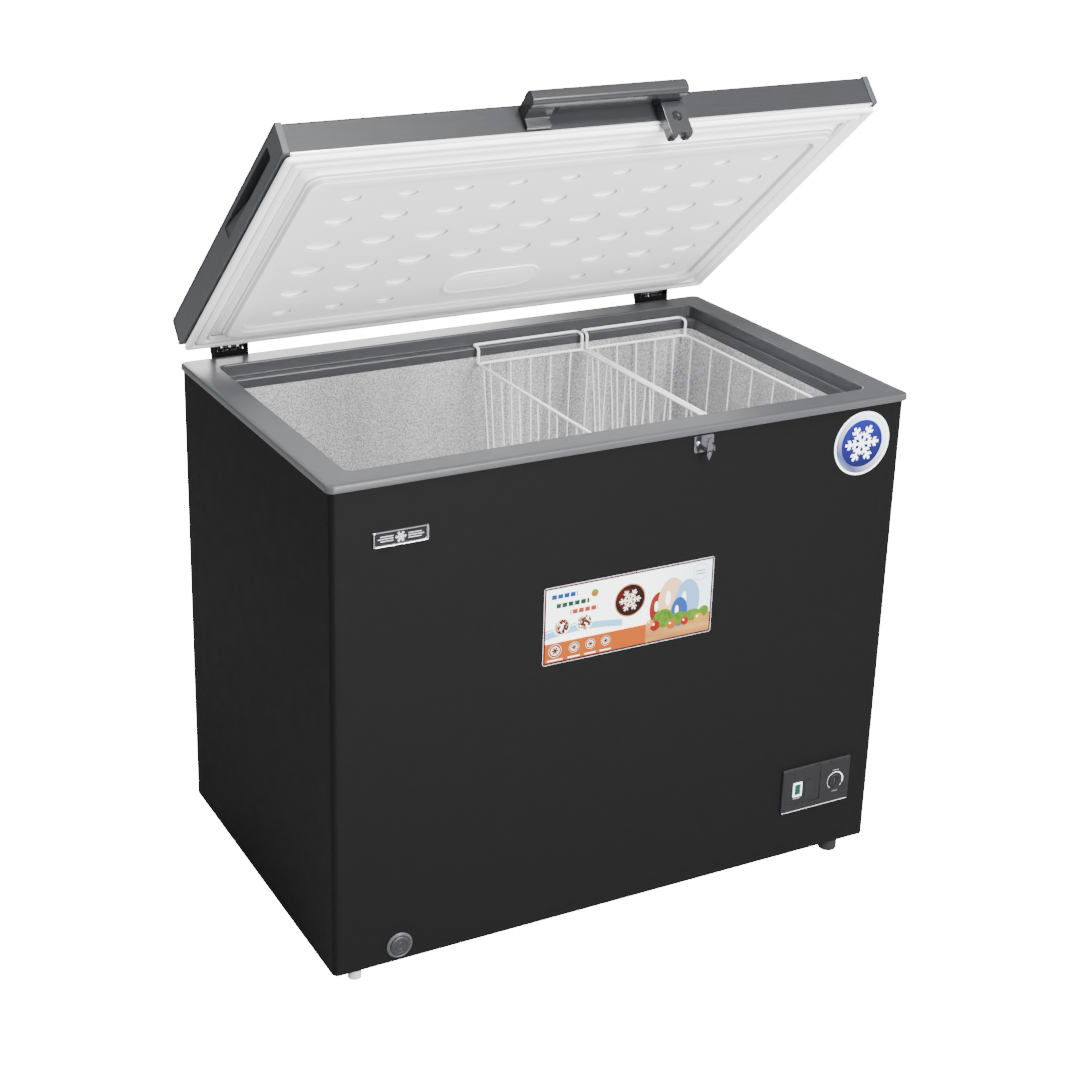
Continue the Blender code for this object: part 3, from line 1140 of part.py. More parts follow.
def build_basket(m, side, x):
    """One basket that slides along the rim's ledge."""
    half_x, half_y = BASKET_WIDTH / 2, BASKET_LENGTH / 2
    frame_z = RIM_TOP - BASKET_FRAME_DROP
    top = frame_z + BASKET_WIRE
    bottom = frame_z - BASKET_HEIGHT
    slide = add_empty(f"basket_{side}_slide", m.cabinet, (x, 0, frame_z))
    wall, taper = BASKET_WALL, BASKET_TAPER
    in_x, in_y = half_x - wall, half_y - wall
    profile = [(half_x - taper, half_y - taper, bottom),
               (half_x - 0.001, half_y - 0.001, frame_z - BASKET_WIRE), (half_x, half_y, frame_z),
               (half_x - 0.001, half_y - 0.001, top), (in_x, in_y, top),
               (in_x - taper, in_y - taper, bottom + wall)]
    loops = [[(px, py, z - frame_z) for px, py, z in frame_loop(a, b, z, 0.012, 3)] for a, b, z in profile]
    basket = lofted(f"basket_{side}", loops, m.coated_wire, m.parts, slide, (x, 0, frame_z), closed=False)
    lift = LEDGE_Z + CLEAR + BASKET_WIRE
    stand = frame_z - 0.004
    reach_x = half_x - BASKET_WIRE - 0.001
    inner_y = half_y - BASKET_WIRE + 0.0006
    outer_y = MOUTH_Y - RIM_DRAFT - BASKET_WIRE - 0.007
    for end, sign in (("front", -1), ("back", 1)):
        path = [(-reach_x, sign * inner_y, stand), (-reach_x, sign * inner_y, lift),
                (-reach_x, sign * outer_y, lift), (reach_x, sign * outer_y, lift),
                (reach_x, sign * inner_y, lift), (reach_x, sign * inner_y, stand)]
        path = [(px, py, z - frame_z) for px, py, z in path]
        hook = wire(f"hook_{side}_{end}", bent(path, 0.006, 2), BASKET_WIRE, None, m.cutters, slide,
                    (x, 0, frame_z), resolution=1)
        join(basket, to_mesh(hook, None))


def main():
    """Builds the freezer with its lid open."""
    clear_scene()
    m = Model()
    build_wrapper(m)
    build_rear_and_base(m)
    build_rim(m)
    build_liner(m)
    build_foam(m)
    build_tubes(m)
    build_drain(m)
    build_feet(m)
    build_panel(m)
    build_front_marks(m)
    build_keeper(m)
    build_bay(m)
    build_lid_skin(m)
    build_lid_body(m)
    build_caps(m)
    build_handle(m)
    build_lock(m)
    build_hinges(m)
    build_baskets(m)
    m.lid.rotation_euler.x = -LID_OPEN


main()
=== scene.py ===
"""Chest freezer with an open lid, a lock, an embossed tank, two wire baskets, a control panel and a drain."""

import json
import logging
import math
from dataclasses import dataclass, field
from enum import Enum
from typing import Callable, Iterable, Optional, Sequence, Union

import bmesh
import bpy
from mathutils import Matrix, Vector

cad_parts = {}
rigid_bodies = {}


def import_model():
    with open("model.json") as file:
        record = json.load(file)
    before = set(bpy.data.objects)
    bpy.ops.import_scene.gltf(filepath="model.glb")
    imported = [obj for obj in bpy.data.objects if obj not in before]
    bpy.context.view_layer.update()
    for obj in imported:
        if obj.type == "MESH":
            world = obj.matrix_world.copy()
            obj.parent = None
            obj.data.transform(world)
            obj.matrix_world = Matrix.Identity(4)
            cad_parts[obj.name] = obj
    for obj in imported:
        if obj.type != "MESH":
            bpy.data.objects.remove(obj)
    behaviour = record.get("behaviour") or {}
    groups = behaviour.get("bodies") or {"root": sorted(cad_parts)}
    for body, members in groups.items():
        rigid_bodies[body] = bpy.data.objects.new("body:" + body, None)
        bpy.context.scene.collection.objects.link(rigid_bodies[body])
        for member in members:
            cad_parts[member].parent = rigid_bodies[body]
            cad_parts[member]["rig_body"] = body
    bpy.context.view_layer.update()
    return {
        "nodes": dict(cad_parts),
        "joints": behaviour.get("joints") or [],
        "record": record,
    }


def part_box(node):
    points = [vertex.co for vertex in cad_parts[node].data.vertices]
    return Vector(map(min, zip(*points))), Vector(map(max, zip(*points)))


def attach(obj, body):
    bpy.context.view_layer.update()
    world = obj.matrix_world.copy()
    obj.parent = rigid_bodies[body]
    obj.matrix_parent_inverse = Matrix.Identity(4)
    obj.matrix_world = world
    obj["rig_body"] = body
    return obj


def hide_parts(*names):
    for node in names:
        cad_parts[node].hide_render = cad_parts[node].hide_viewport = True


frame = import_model()

LOG = logging.getLogger("chest_freezer")
Point = tuple[float, float]
Spot = tuple[float, float, float]
Colour = Spot


class Body(Enum):
    """Rigid bodies that pieces ride on."""

    CABINET = "cabinet"
    LID = "lid"
    LOCK = "lock_cylinder_body"
    HOOK = "lock_hook_body"
    DIAL = "thermostat_body_dial"
    CAP = "drain_cap_body"
    BASKET_LEFT = "basket_left_body"
    BASKET_RIGHT = "basket_right_body"


class Axis(Enum):
    """The direction that an outline is swept along, and how its two numbers are read."""

    X = "X"
    Y = "Y"
    Z = "Z"

    def place(self, a: float, b: float, along: float) -> Vector:
        """Puts an outline's point into space.

        Args:
            a: First number of the outline.
            b: Second number of the outline.
            along: Distance along this axis.

        Returns:
            The point.
        """
        order = {"X": (along, a, b), "Y": (a, along, b), "Z": (a, b, along)}
        return Vector(order[self.value])


# ---------------------------------------------------------------- where things are


def joint(name: str) -> dict:
    """The record's entry for a joint."""
    return next(j for j in frame["joints"] if j["name"] == name)


@dataclass(frozen=True)
class Layout:
    """Main sizes and the two changes of place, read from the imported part.

    Shapes are written with the lid closed and with Y counted from the cabinet's centre.
    """

    half_x: float
    half_y: float
    rim_top: float
    shift: float
    pivot: Point
    opening: float

    @classmethod
    def read(cls) -> "Layout":
        """Measures the frame."""
        low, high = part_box("top_rim")
        hinge = joint("lid_hinge")
        shift = (low.y + high.y) / 2
        pivot = (hinge["pos_m"][1] - shift, hinge["pos_m"][2])
        opening = math.radians(-hinge["range_deg"][0])
        return cls((high.x - low.x) / 2, (high.y - low.y) / 2, high.z, shift, pivot, opening)

    @property
    def cabinet(self) -> Matrix:
        """Cabinet coordinates to the row frame."""
        return Matrix.Translation((0, self.shift, 0))

    @property
    def lid(self) -> Matrix:
        """Closed lid coordinates to the row frame, with the lid open."""
        pivot = Vector((0, *self.pivot))
        turn = Matrix.Rotation(-self.opening, 4, "X")
        return self.cabinet @ Matrix.Translation(pivot) @ turn @ Matrix.Translation(-pivot)

    def closed_box(self, node: str) -> tuple[Vector, Vector]:
        """Corners of a node, in cabinet or closed lid coordinates.

        Args:
            node: Name of a CAD node.

        Returns:
            Its lowest and highest corner.
        """
        found = frame["nodes"][node]
        on_lid = found["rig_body"] in (Body.LID.value, Body.LOCK.value, Body.HOOK.value)
        back = (self.lid if on_lid else self.cabinet).inverted()
        points = [back @ v.co for v in found.data.vertices]
        return (Vector(min(p[i] for p in points) for i in range(3)),
                Vector(max(p[i] for p in points) for i in range(3)))


# ---------------------------------------------------------------- outlines and paths


def arc(centre: Point, radius: float, start: float, end: float, steps: int) -> list[Point]:
    """Points along an arc, angles in degrees."""
    turns = [math.radians(start + (end - start) * i / steps) for i in range(steps + 1)]
    return [(centre[0] + radius * math.cos(t), centre[1] + radius * math.sin(t)) for t in turns]


def circle(radius: float, steps: int, centre: Point = (0, 0)) -> list[Point]:
    """A closed ring of points."""
    return arc(centre, radius, 0, 360 - 360 / steps, steps - 1)


def oval(half_x: float, half_y: float, steps: int, centre: Point = (0, 0)) -> list[Point]:
    """An ellipse's points."""
    return [(centre[0] + half_x * x, centre[1] + half_y * y) for x, y in circle(1, steps)]


def rounded(half_x: float, half_y: float, radius: float, steps: int = 6,
            centre: Point = (0, 0)) -> list[Point]:
    """A rounded rectangle, anticlockwise."""
    points: list[Point] = []
    for quarter, (sx, sy) in enumerate(((1, 1), (-1, 1), (-1, -1), (1, -1))):
        corner = (centre[0] + sx * (half_x - radius), centre[1] + sy * (half_y - radius))
        points += arc(corner, radius, 90 * quarter, 90 * quarter + 90, steps)
    return points


def bent(points: Sequence[Sequence[float]], radius: float, steps: int = 4,
         closed: bool = False) -> list[Vector]:
    """Rounds the corners of a path.

    Args:
        points: Corners, flat or in space.
        radius: Radius of every bend.
        steps: Straight pieces in each bend.
        closed: Whether the path returns to its start.

    Returns:
        The rounded path.
    """
    path = [Vector(p).to_3d() for p in points]
    if closed:
        corners = zip(path[-1:] + path, path, path[1:] + path[:1])
    else:
        corners = zip(path, path[1:], path[2:])
    out = [] if closed else [path[0]]
    for before, corner, after in corners:
        a, b = (before - corner).normalized(), (after - corner).normalized()
        half = a.angle(b) / 2
        reach = radius / math.tan(half)
        middle = corner + (a + b).normalized() * (radius / math.sin(half))
        start, end = corner + a * reach - middle, corner + b * reach - middle
        out += [middle + start.lerp(end, i / steps).normalized() * radius for i in range(steps + 1)]
    return out if closed else [*out, path[-1]]


def bent_flat(points: Sequence[Point], radius: float, steps: int = 4) -> list[Point]:
    """A closed flat outline with rounded corners."""
    return [(p.x, p.y) for p in bent(points, radius, steps, closed=True)]


# ---------------------------------------------------------------- solids


class Shape:
    """A solid under construction, in cabinet or closed lid coordinates."""

    def __init__(self) -> None:
        self.bm = bmesh.new()

    def loft(self, loops: Sequence[Sequence[Sequence[float]]], ring: bool = False) -> "Shape":
        """Skins loops that have equal point counts.

        Args:
            loops: Rows of points.
            ring: Joins the last row to the first instead of capping both.

        Returns:
            This shape.
        """
        rows = [[self.bm.verts.new(p) for p in loop] for loop in loops]
        pairs = list(zip(rows, rows[1:])) + ([(rows[-1], rows[0])] if ring else [])
        made = []
        for upper, lower in pairs:
            count = len(upper)
            made += [self.bm.faces.new((upper[i], upper[(i + 1) % count], lower[(i + 1) % count], lower[i]))
                     for i in range(count)]
        if not ring:
            made += [self.bm.faces.new(rows[0]), self.bm.faces.new(rows[-1])]
        bmesh.ops.recalc_face_normals(self.bm, faces=made)
        return self

    def prism(self, outline: Sequence[Point], low: float, high: float, axis: Axis = Axis.X) -> "Shape":
        """Sweeps a flat outline along an axis."""
        return self.loft([[axis.place(a, b, end) for a, b in outline] for end in (low, high)])

    def sheet(self, outer: Sequence[Point], inner: Sequence[Point], low: float, high: float,
              axis: Axis) -> "Shape":
        """A folded sheet between two open outlines, swept along an axis.

        Args:
            outer: Outline of one face.
            inner: Outline of the other face, with as many points.
            low: Where the sweep starts.
            high: Where it ends.
            axis: Direction of the sweep.

        Returns:
            This shape.
        """
        ring = [*outer, *inner[::-1]]
        count = len(ring)
        ends = [[self.bm.verts.new(axis.place(a, b, end)) for a, b in ring] for end in (low, high)]
        for i in range(count):
            j = (i + 1) % count
            self.bm.faces.new((ends[0][i], ends[0][j], ends[1][j], ends[1][i]))
        for row in ends:
            for i in range(len(outer) - 1):
                self.bm.faces.new((row[i], row[i + 1], row[count - 2 - i], row[count - 1 - i]))
        bmesh.ops.recalc_face_normals(self.bm, faces=self.bm.faces)
        return self

    def block(self, low: Sequence[float], high: Sequence[float]) -> "Shape":
        """A box between two corners."""
        outline = [(low[0], low[1]), (high[0], low[1]), (high[0], high[1]), (low[0], high[1])]
        return self.prism(outline, low[2], high[2], Axis.Z)

    def turned(self, profile: Sequence[Point], centre: Sequence[float], axis: Axis = Axis.Z,
               steps: int = 48) -> "Shape":
        """Turns a profile of (radius, height) points about an axis through a centre.

        Args:
            profile: Points from the axis and back to it.
            centre: Where height 0 is.
            axis: Direction of height.
            steps: Flats round the turn.

        Returns:
            This shape.
        """
        points = [self.bm.verts.new((radius, 0, height)) for radius, height in profile]
        edges = [self.bm.edges.new(pair) for pair in zip(points, points[1:])]
        bmesh.ops.spin(self.bm, geom=points + edges, cent=(0, 0, 0), axis=(0, 0, 1), angle=math.tau,
                       steps=steps, use_merge=True)
        verts = {v for f in self.bm.faces for v in f.verts if v in set(points)} | set(points)
        turned = self._linked(verts)
        bmesh.ops.remove_doubles(self.bm, verts=list(turned), dist=1e-6)
        turned = self._linked({v for v in self.bm.verts if v in turned})
        turn = {"X": Matrix.Rotation(math.pi / 2, 4, "Y"), "Y": Matrix.Rotation(-math.pi / 2, 4, "X"),
                "Z": Matrix.Identity(4)}[axis.value]
        bmesh.ops.transform(self.bm, matrix=Matrix.Translation(centre) @ turn, verts=list(turned))
        faces = {f for v in turned for f in v.link_faces}
        bmesh.ops.recalc_face_normals(self.bm, faces=list(faces))
        return self

    def _linked(self, start: set) -> set:
        """Every vertex that edges join to the given ones."""
        found, todo = set(start), list(start)
        while todo:
            for edge in todo.pop().link_edges:
                for vert in edge.verts:
                    if vert not in found:
                        found.add(vert)
                        todo.append(vert)
        return found

    def tube(self, path: Sequence[Sequence[float]], radius: float, sides: int = 8,
             closed: bool = False) -> "Shape":
        """A round wire along a path."""
        points = [Vector(p) for p in path]
        count = len(points)
        loops, side = [], None
        for i, point in enumerate(points):
            ahead = points[(i + 1) % count] if closed or i < count - 1 else point
            behind = points[i - 1] if closed or i else point
            along = (ahead - behind).normalized()
            if side is None:
                side = along.orthogonal().normalized()
            side = (side - along * side.dot(along)).normalized()
            up = along.cross(side)
            loops.append([point + radius * (side * c + up * s) for c, s in circle(1, sides)])
        return self.loft(loops, ring=closed)

    def bevel(self, width: float, segments: int = 2, sharper: float = 30) -> "Shape":
        """Rounds edges that are sharper than an angle.

        Args:
            width: Size of the round.
            segments: Faces across it.
            sharper: Least angle between the two faces, in degrees.

        Returns:
            This shape.
        """
        limit = math.radians(sharper)
        edges = [e for e in self.bm.edges if len(e.link_faces) == 2 and e.calc_face_angle(0) > limit]
        bmesh.ops.bevel(self.bm, geom=edges, offset=width, segments=segments, affect="EDGES", profile=0.5,
                        material=-1, clamp_overlap=True)
        return self

    def carved(self, *cutters: "Shape") -> "Shape":
        """This shape with others taken away."""
        return self._boolean("DIFFERENCE", cutters)

    def joined(self, *others: "Shape") -> "Shape":
        """This shape made one with others."""
        return self._boolean("UNION", others)

    def _boolean(self, operation: str, others: Iterable["Shape"]) -> "Shape":
        body = _temporary(self.bm)
        helpers = [_temporary(other.bm) for other in others]
        for helper in helpers:
            step = body.modifiers.new("step", "BOOLEAN")
            step.operation, step.solver, step.object = operation, "EXACT", helper
        bpy.context.view_layer.update()
        done = body.evaluated_get(bpy.context.evaluated_depsgraph_get()).to_mesh()
        self.bm = bmesh.new()
        self.bm.from_mesh(done)
        for obj in (body, *helpers):
            data = obj.data
            bpy.data.objects.remove(obj)
            bpy.data.meshes.remove(data)
        return self

    def shifted(self, matrix: Matrix) -> "Shape":
        """Moves the whole shape."""
        bmesh.ops.transform(self.bm, matrix=matrix, verts=self.bm.verts)
        return self


def _temporary(bm: bmesh.types.BMesh) -> bpy.types.Object:
    data = bpy.data.meshes.new("temporary")
    bm.to_mesh(data)
    bm.free()
    obj = bpy.data.objects.new("temporary", data)
    bpy.context.scene.collection.objects.link(obj)
    return obj


# ---------------------------------------------------------------- shader graphs


Value = Union[float, "Signal"]


class Graph:
    """Adds nodes to a tree and links them."""

    def __init__(self, tree: bpy.types.NodeTree) -> None:
        self.tree = tree

    def add(self, kind: str, inputs: Optional[dict] = None, output: Union[int, str] = 0,
            **settings) -> "Signal":
        """Adds one node.

        Args:
            kind: Node type without its ShaderNode prefix.
            inputs: Socket name or number to a constant or a signal.
            output: Name or number of the socket to return.
            settings: Attributes of the node.

        Returns:
            The chosen output.
        """
        node = self.tree.nodes.new("ShaderNode" + kind)
        for name, setting in settings.items():
            setattr(node, name, setting)
        for socket, value in (inputs or {}).items():
            if isinstance(value, Signal):
                self.tree.links.new(value.socket, node.inputs[socket])
            else:
                node.inputs[socket].default_value = value
        return Signal(self, node.outputs[output])

    def math(self, operation: str, *values: Value) -> "Signal":
        """A math node."""
        return self.add("Math", dict(enumerate(values)), operation=operation)

    def mix(self, factor: Value, first: Union[Colour, "Signal"], second: Union[Colour, "Signal"]) -> "Signal":
        """A blend of two colours."""
        ends = [(*end, 1.0) if isinstance(end, tuple) else end for end in (first, second)]
        return self.add("Mix", {"Factor": factor, 6: ends[0], 7: ends[1]}, output=2, data_type="RGBA")

    def noise(self, scale: Value, detail: float = 3, stretch: Optional[Colour] = None) -> "Signal":
        """Noise from 0 to 1 over the object."""
        where = self.add("TexCoord", output="Object")
        if stretch:
            where = self.add("Mapping", {"Vector": where, "Scale": stretch})
        return self.add("TexNoise", {"Vector": where, "Scale": scale, "Detail": detail})

    def xyz(self) -> tuple["Signal", "Signal", "Signal"]:
        """Position in the object's own coordinates."""
        where = self.add("TexCoord", output="Object")
        return tuple(self.add("SeparateXYZ", {"Vector": where}, output=i) for i in range(3))


@dataclass(frozen=True)
class Signal:
    """An output socket that arithmetic can be done on."""

    graph: Graph
    socket: bpy.types.NodeSocket

    def __add__(self, other: Value) -> "Signal":
        return self.graph.math("ADD", self, other)

    def __sub__(self, other: Value) -> "Signal":
        return self.graph.math("SUBTRACT", self, other)

    def __mul__(self, other: Value) -> "Signal":
        return self.graph.math("MULTIPLY", self, other)

    def __truediv__(self, other: Value) -> "Signal":
        return self.graph.math("DIVIDE", self, other)

    def __abs__(self) -> "Signal":
        return self.graph.math("ABSOLUTE", self)

    def __lt__(self, other: Value) -> "Signal":
        return self.graph.math("LESS_THAN", self, other)

    def __gt__(self, other: Value) -> "Signal":
        return self.graph.math("GREATER_THAN", self, other)

    def __or__(self, other: "Signal") -> "Signal":
        return self.graph.math("MAXIMUM", self, other)

    def __and__(self, other: Value) -> "Signal":
        return self.graph.math("MULTIPLY", self, other)


def mottle(g: Graph, given: dict[str, Signal]) -> dict[str, Signal]:
    """Slight light and dark drift of a colour."""
    shade = (g.noise(given["Scale"]) - 0.5) * given["Strength"] + 1.0
    return {"Color": g.add("VectorMath", {0: given["Color"], "Scale": shade}, operation="SCALE")}


def sheen(g: Graph, given: dict[str, Signal]) -> dict[str, Signal]:
    """Roughness that wanders about its mean."""
    return {"Roughness": (g.noise(given["Scale"], 5) - 0.5) * given["Spread"] + given["Mean"]}


def peel(g: Graph, given: dict[str, Signal]) -> dict[str, Signal]:
    """Fine moulded or sprayed texture."""
    return {"Height": g.noise(given["Scale"], 2)}


def brushed(g: Graph, given: dict[str, Signal]) -> dict[str, Signal]:
    """Hair lines along X."""
    lines = g.noise(given["Scale"], 4, (0.02, 1.0, 1.0))
    return {"Height": lines, "Tone": (lines - 0.5) * 0.5 + 1.0}


def stucco(g: Graph, given: dict[str, Signal]) -> dict[str, Signal]:
    """Pebbled embossing of sheet aluminium, with the sheet's slow waves; its tone paints glints as fine
    specks and sheen as streaks along the waves.
    """
    where = g.add("TexCoord", output="Object")
    cells = g.add("TexVoronoi", {"Vector": where, "Scale": given["Scale"], "Smoothness": 0.6},
                  feature="SMOOTH_F1")
    broken = g.noise(given["Scale"] * 0.6, 2)
    waves = g.noise(given["Waves"], 1, (1.0, 1.0, 0.10))
    # Painted glints: fine light and dark specks in the colour.
    painted_glint_specks = g.add("MapRange", {0: g.noise(given["Scale"], 2), 1: 0.40, 2: 0.60, 3: 0.45, 4: 1.0})
    # Painted sheen: lighter and darker vertical streaks that follow the slow waves.
    painted_sheen_streaks = g.add("MapRange", {0: waves, 1: 0.35, 2: 0.65, 3: 0.72, 4: 1.0})
    return {"Height": cells * 0.7 + broken * 0.5, "Waves": waves, "Tone": painted_glint_specks * painted_sheen_streaks}


def edge_wear(g: Graph, given: dict[str, Signal]) -> dict[str, Signal]:
    """Mask along outer edges, broken up by noise."""
    soft = g.add("Bevel", {"Radius": given["Radius"]}, samples=4)
    hard = g.add("NewGeometry", output="Normal")
    meet = g.add("VectorMath", {0: soft, 1: hard}, output="Value", operation="DOT_PRODUCT")
    edge = (g.math("SUBTRACT", 1.0, meet)) * 6.0
    broken = g.noise(90.0, 4) > 0.45
    return {"Mask": g.math("MINIMUM", edge & broken, 1.0) * given["Amount"]}


def dust(g: Graph, given: dict[str, Signal]) -> dict[str, Signal]:
    """Mask of dust on what faces up."""
    up = g.add("SeparateXYZ", {"Vector": g.add("NewGeometry", output="Normal")}, output=2)
    facing = g.math("MAXIMUM", up, 0.0)
    return {"Mask": facing * g.noise(38.0, 6) * given["Amount"]}


@dataclass(frozen=True)
class Effect:
    """A shader node group that is made once and shared.

    Args:
        title: Name of the group.
        build: Fills the group.
        inputs: Names with their socket kinds.
        outputs: Names with their socket kinds.
    """

    title: str
    build: Callable[[Graph, dict[str, Signal]], dict[str, Signal]]
    inputs: dict[str, str]
    outputs: dict[str, str]

    def tree(self) -> bpy.types.NodeTree:
        """The node group itself."""
        if self.title in bpy.data.node_groups:
            return bpy.data.node_groups[self.title]
        tree = bpy.data.node_groups.new(self.title, "ShaderNodeTree")
        for names, way in ((self.inputs, "INPUT"), (self.outputs, "OUTPUT")):
            for name, kind in names.items():
                tree.interface.new_socket(name, in_out=way, socket_type="NodeSocket" + kind)
        entry, leave = tree.nodes.new("NodeGroupInput"), tree.nodes.new("NodeGroupOutput")
        graph = Graph(tree)
        given = {name: Signal(graph, entry.outputs[name]) for name in self.inputs}
        for name, signal in self.build(graph, given).items():
            tree.links.new(signal.socket, leave.inputs[name])
        return tree

    def use(self, graph: Graph, **values) -> dict[str, Signal]:
        """Adds the group to a material.

        Args:
            graph: The material's graph.
            values: Input name to a constant or a signal.

        Returns:
            Output name to its signal.
        """
        node = graph.tree.nodes.new("ShaderNodeGroup")
        node.node_tree = self.tree()
        for name, value in values.items():
            if isinstance(value, Signal):
                graph.tree.links.new(value.socket, node.inputs[name])
            else:
                node.inputs[name].default_value = (*value, 1.0) if isinstance(value, tuple) else value
        return {name: Signal(graph, node.outputs[name]) for name in self.outputs}


MOTTLE = Effect("mottle", mottle, {"Color": "Color", "Scale": "Float", "Strength": "Float"},
                {"Color": "Color"})
SHEEN = Effect("sheen", sheen, {"Mean": "Float", "Spread": "Float", "Scale": "Float"}, {"Roughness": "Float"})
PEEL = Effect("peel", peel, {"Scale": "Float"}, {"Height": "Float"})
BRUSHED = Effect("brushed", brushed, {"Scale": "Float"}, {"Height": "Float", "Tone": "Float"})
STUCCO = Effect("stucco", stucco, {"Scale": "Float", "Waves": "Float"},
                {"Height": "Float", "Waves": "Float", "Tone": "Float"})
EDGE_WEAR = Effect("edge_wear", edge_wear, {"Radius": "Float", "Amount": "Float"}, {"Mask": "Float"})
DUST = Effect("dust", dust, {"Amount": "Float"}, {"Mask": "Float"})


class Relief(Enum):
    """Kinds of surface texture."""

    PEEL = "peel"
    BRUSHED = "brushed"
    STUCCO = "stucco"


@dataclass(frozen=True)
class Finish:
    """One surface finish.

    Args:
        title: Name of the material.
        colour: Linear base colour.
        roughness: Mean roughness.
        metallic: 0 or 1 and between for paint with flakes.
        relief: Kind of texture.
        scale: Texture detail, per metre.
        depth: Height of the texture in metres.
        drift: How far the colour wanders.
        worn: How far edges are rubbed lighter.
        dusty: How far dust shows.
        coat: Weight of a clear coat.
        gloss: Strength of the mirror-like part of a plastic or a paint.
    """

    title: str
    colour: Colour
    roughness: float
    metallic: float = 0.0
    relief: Relief = Relief.PEEL
    scale: float = 700.0
    depth: float = 0.00004
    drift: float = 0.10
    worn: float = 0.0
    dusty: float = 0.02
    coat: float = 0.0
    gloss: float = 0.5

    def paint(self, graph: Graph) -> Union[Colour, Signal]:
        """The colour before wear and dust."""
        return self.colour

    def material(self) -> bpy.types.Material:
        """Builds the material, or returns it if it exists."""
        found = bpy.data.materials.get("finish_" + self.title)
        if found:
            return found
        made = bpy.data.materials.new("finish_" + self.title)
        made.use_nodes = True
        graph = Graph(made.node_tree)
        shader = made.node_tree.nodes["Principled BSDF"]
        link = made.node_tree.links.new
        colour = MOTTLE.use(graph, Color=self.paint(graph), Scale=14.0, Strength=self.drift)["Color"]
        height, colour = self._texture(graph, colour)
        if self.worn:
            lighter = tuple(min(1.0, c * 2.2 + 0.05) for c in self.colour)
            colour = graph.mix(EDGE_WEAR.use(graph, Radius=0.0012, Amount=self.worn)["Mask"], colour, lighter)
        if self.dusty:
            colour = graph.mix(DUST.use(graph, Amount=self.dusty)["Mask"], colour, (0.55, 0.53, 0.50))
        rough = SHEEN.use(graph, Mean=self.roughness, Spread=self.roughness * 0.12, Scale=40.0)["Roughness"]
        bump = graph.add("Bump", {"Strength": 1.0, "Distance": self.depth, "Height": height}, "Normal")
        link(colour.socket, shader.inputs["Base Color"])
        link(rough.socket, shader.inputs["Roughness"])
        link(bump.socket, shader.inputs["Normal"])
        shader.inputs["Metallic"].default_value = self.metallic
        shader.inputs["Coat Weight"].default_value = self.coat
        shader.inputs["Specular IOR Level"].default_value = self.gloss
        return made

    def _texture(self, graph: Graph, colour: Signal) -> tuple[Signal, Signal]:
        if self.relief is Relief.BRUSHED:
            made = BRUSHED.use(graph, Scale=self.scale)
            toned = graph.add("VectorMath", {0: colour, "Scale": made["Tone"]}, operation="SCALE")
            return made["Height"], toned
        if self.relief is Relief.STUCCO:
            made = STUCCO.use(graph, Scale=self.scale, Waves=9.0)
            # The tone lightens and darkens the colour with the painted glints and sheen.
            toned = graph.add("VectorMath", {0: colour, "Scale": made["Tone"]}, operation="SCALE")
            return made["Height"] + made["Waves"] * 6.0, toned
        return PEEL.use(graph, Scale=self.scale)["Height"], colour


class Canvas:
    """Draws flat marks in a colour signal, in metres from a centre on an XZ face."""

    def __init__(self, graph: Graph, centre: Point, base: Union[Colour, Signal]) -> None:
        x, _, z = graph.xyz()
        self.graph = graph
        self.x, self.z = x - centre[0], z - centre[1]
        self.colour = base

    def fill(self, mask: Value, colour: Union[Colour, Signal]) -> None:
        """Paints a colour where the mask is 1."""
        self.colour = self.graph.mix(mask, self.colour, colour)

    def bar(self, x: float, z: float, width: float, height: float) -> Signal:
        """Mask of a rectangle about a centre."""
        return (abs(self.x - x) < width / 2) & (abs(self.z - z) < height / 2)

    def far(self, x: float, z: float, squeeze: float = 1.0) -> Signal:
        """Distance from a point, with Z counted squeeze times."""
        across, up = self.x - x, (self.z - z) * squeeze
        return self.graph.math("SQRT", across * across + up * up)

    def disc(self, x: float, z: float, radius: float, squeeze: float = 1.0) -> Signal:
        """Mask of a disc or an oval."""
        return self.far(x, z, squeeze) < radius

    def hoop(self, x: float, z: float, radius: float, width: float) -> Signal:
        """Mask of a ring."""
        return abs(self.far(x, z) - radius) < width / 2

    def snowflake(self, x: float, z: float, radius: float, width: float) -> Signal:
        """Mask of a six-armed star with two pairs of barbs on each arm."""
        across, up = self.x - x, self.z - z
        turn = self.graph.math("ARCTAN2", up, across)
        fold = self.graph.math("PINGPONG", turn + math.tau, math.pi / 6)
        reach = self.far(x, z)
        along = reach * self.graph.math("COSINE", fold)
        aside = reach * self.graph.math("SINE", fold)
        mask = (aside < width / 2) & (reach < radius)
        for start in (0.36, 0.66):
            ahead = along - radius * start
            slant = abs(ahead * math.sin(math.pi / 3) - aside * math.cos(math.pi / 3)) < width / 2
            mask = mask | (slant & (ahead > 0.0) & (aside < radius * 0.24))
        return mask


def ink(red: float, green: float, blue: float) -> Colour:
    """Linear colour of a print from its display colour: strong colours print darker than pale ones.

    Args:
        red: Red, 0 to 1.
        green: Green, 0 to 1.
        blue: Blue, 0 to 1.

    Returns:
        The linear colour.
    """
    most = max(red, green, blue)
    strength = 1 - 0.80 * (most - min(red, green, blue)) / most
    return tuple(v ** 2.5 * strength for v in (red, green, blue))


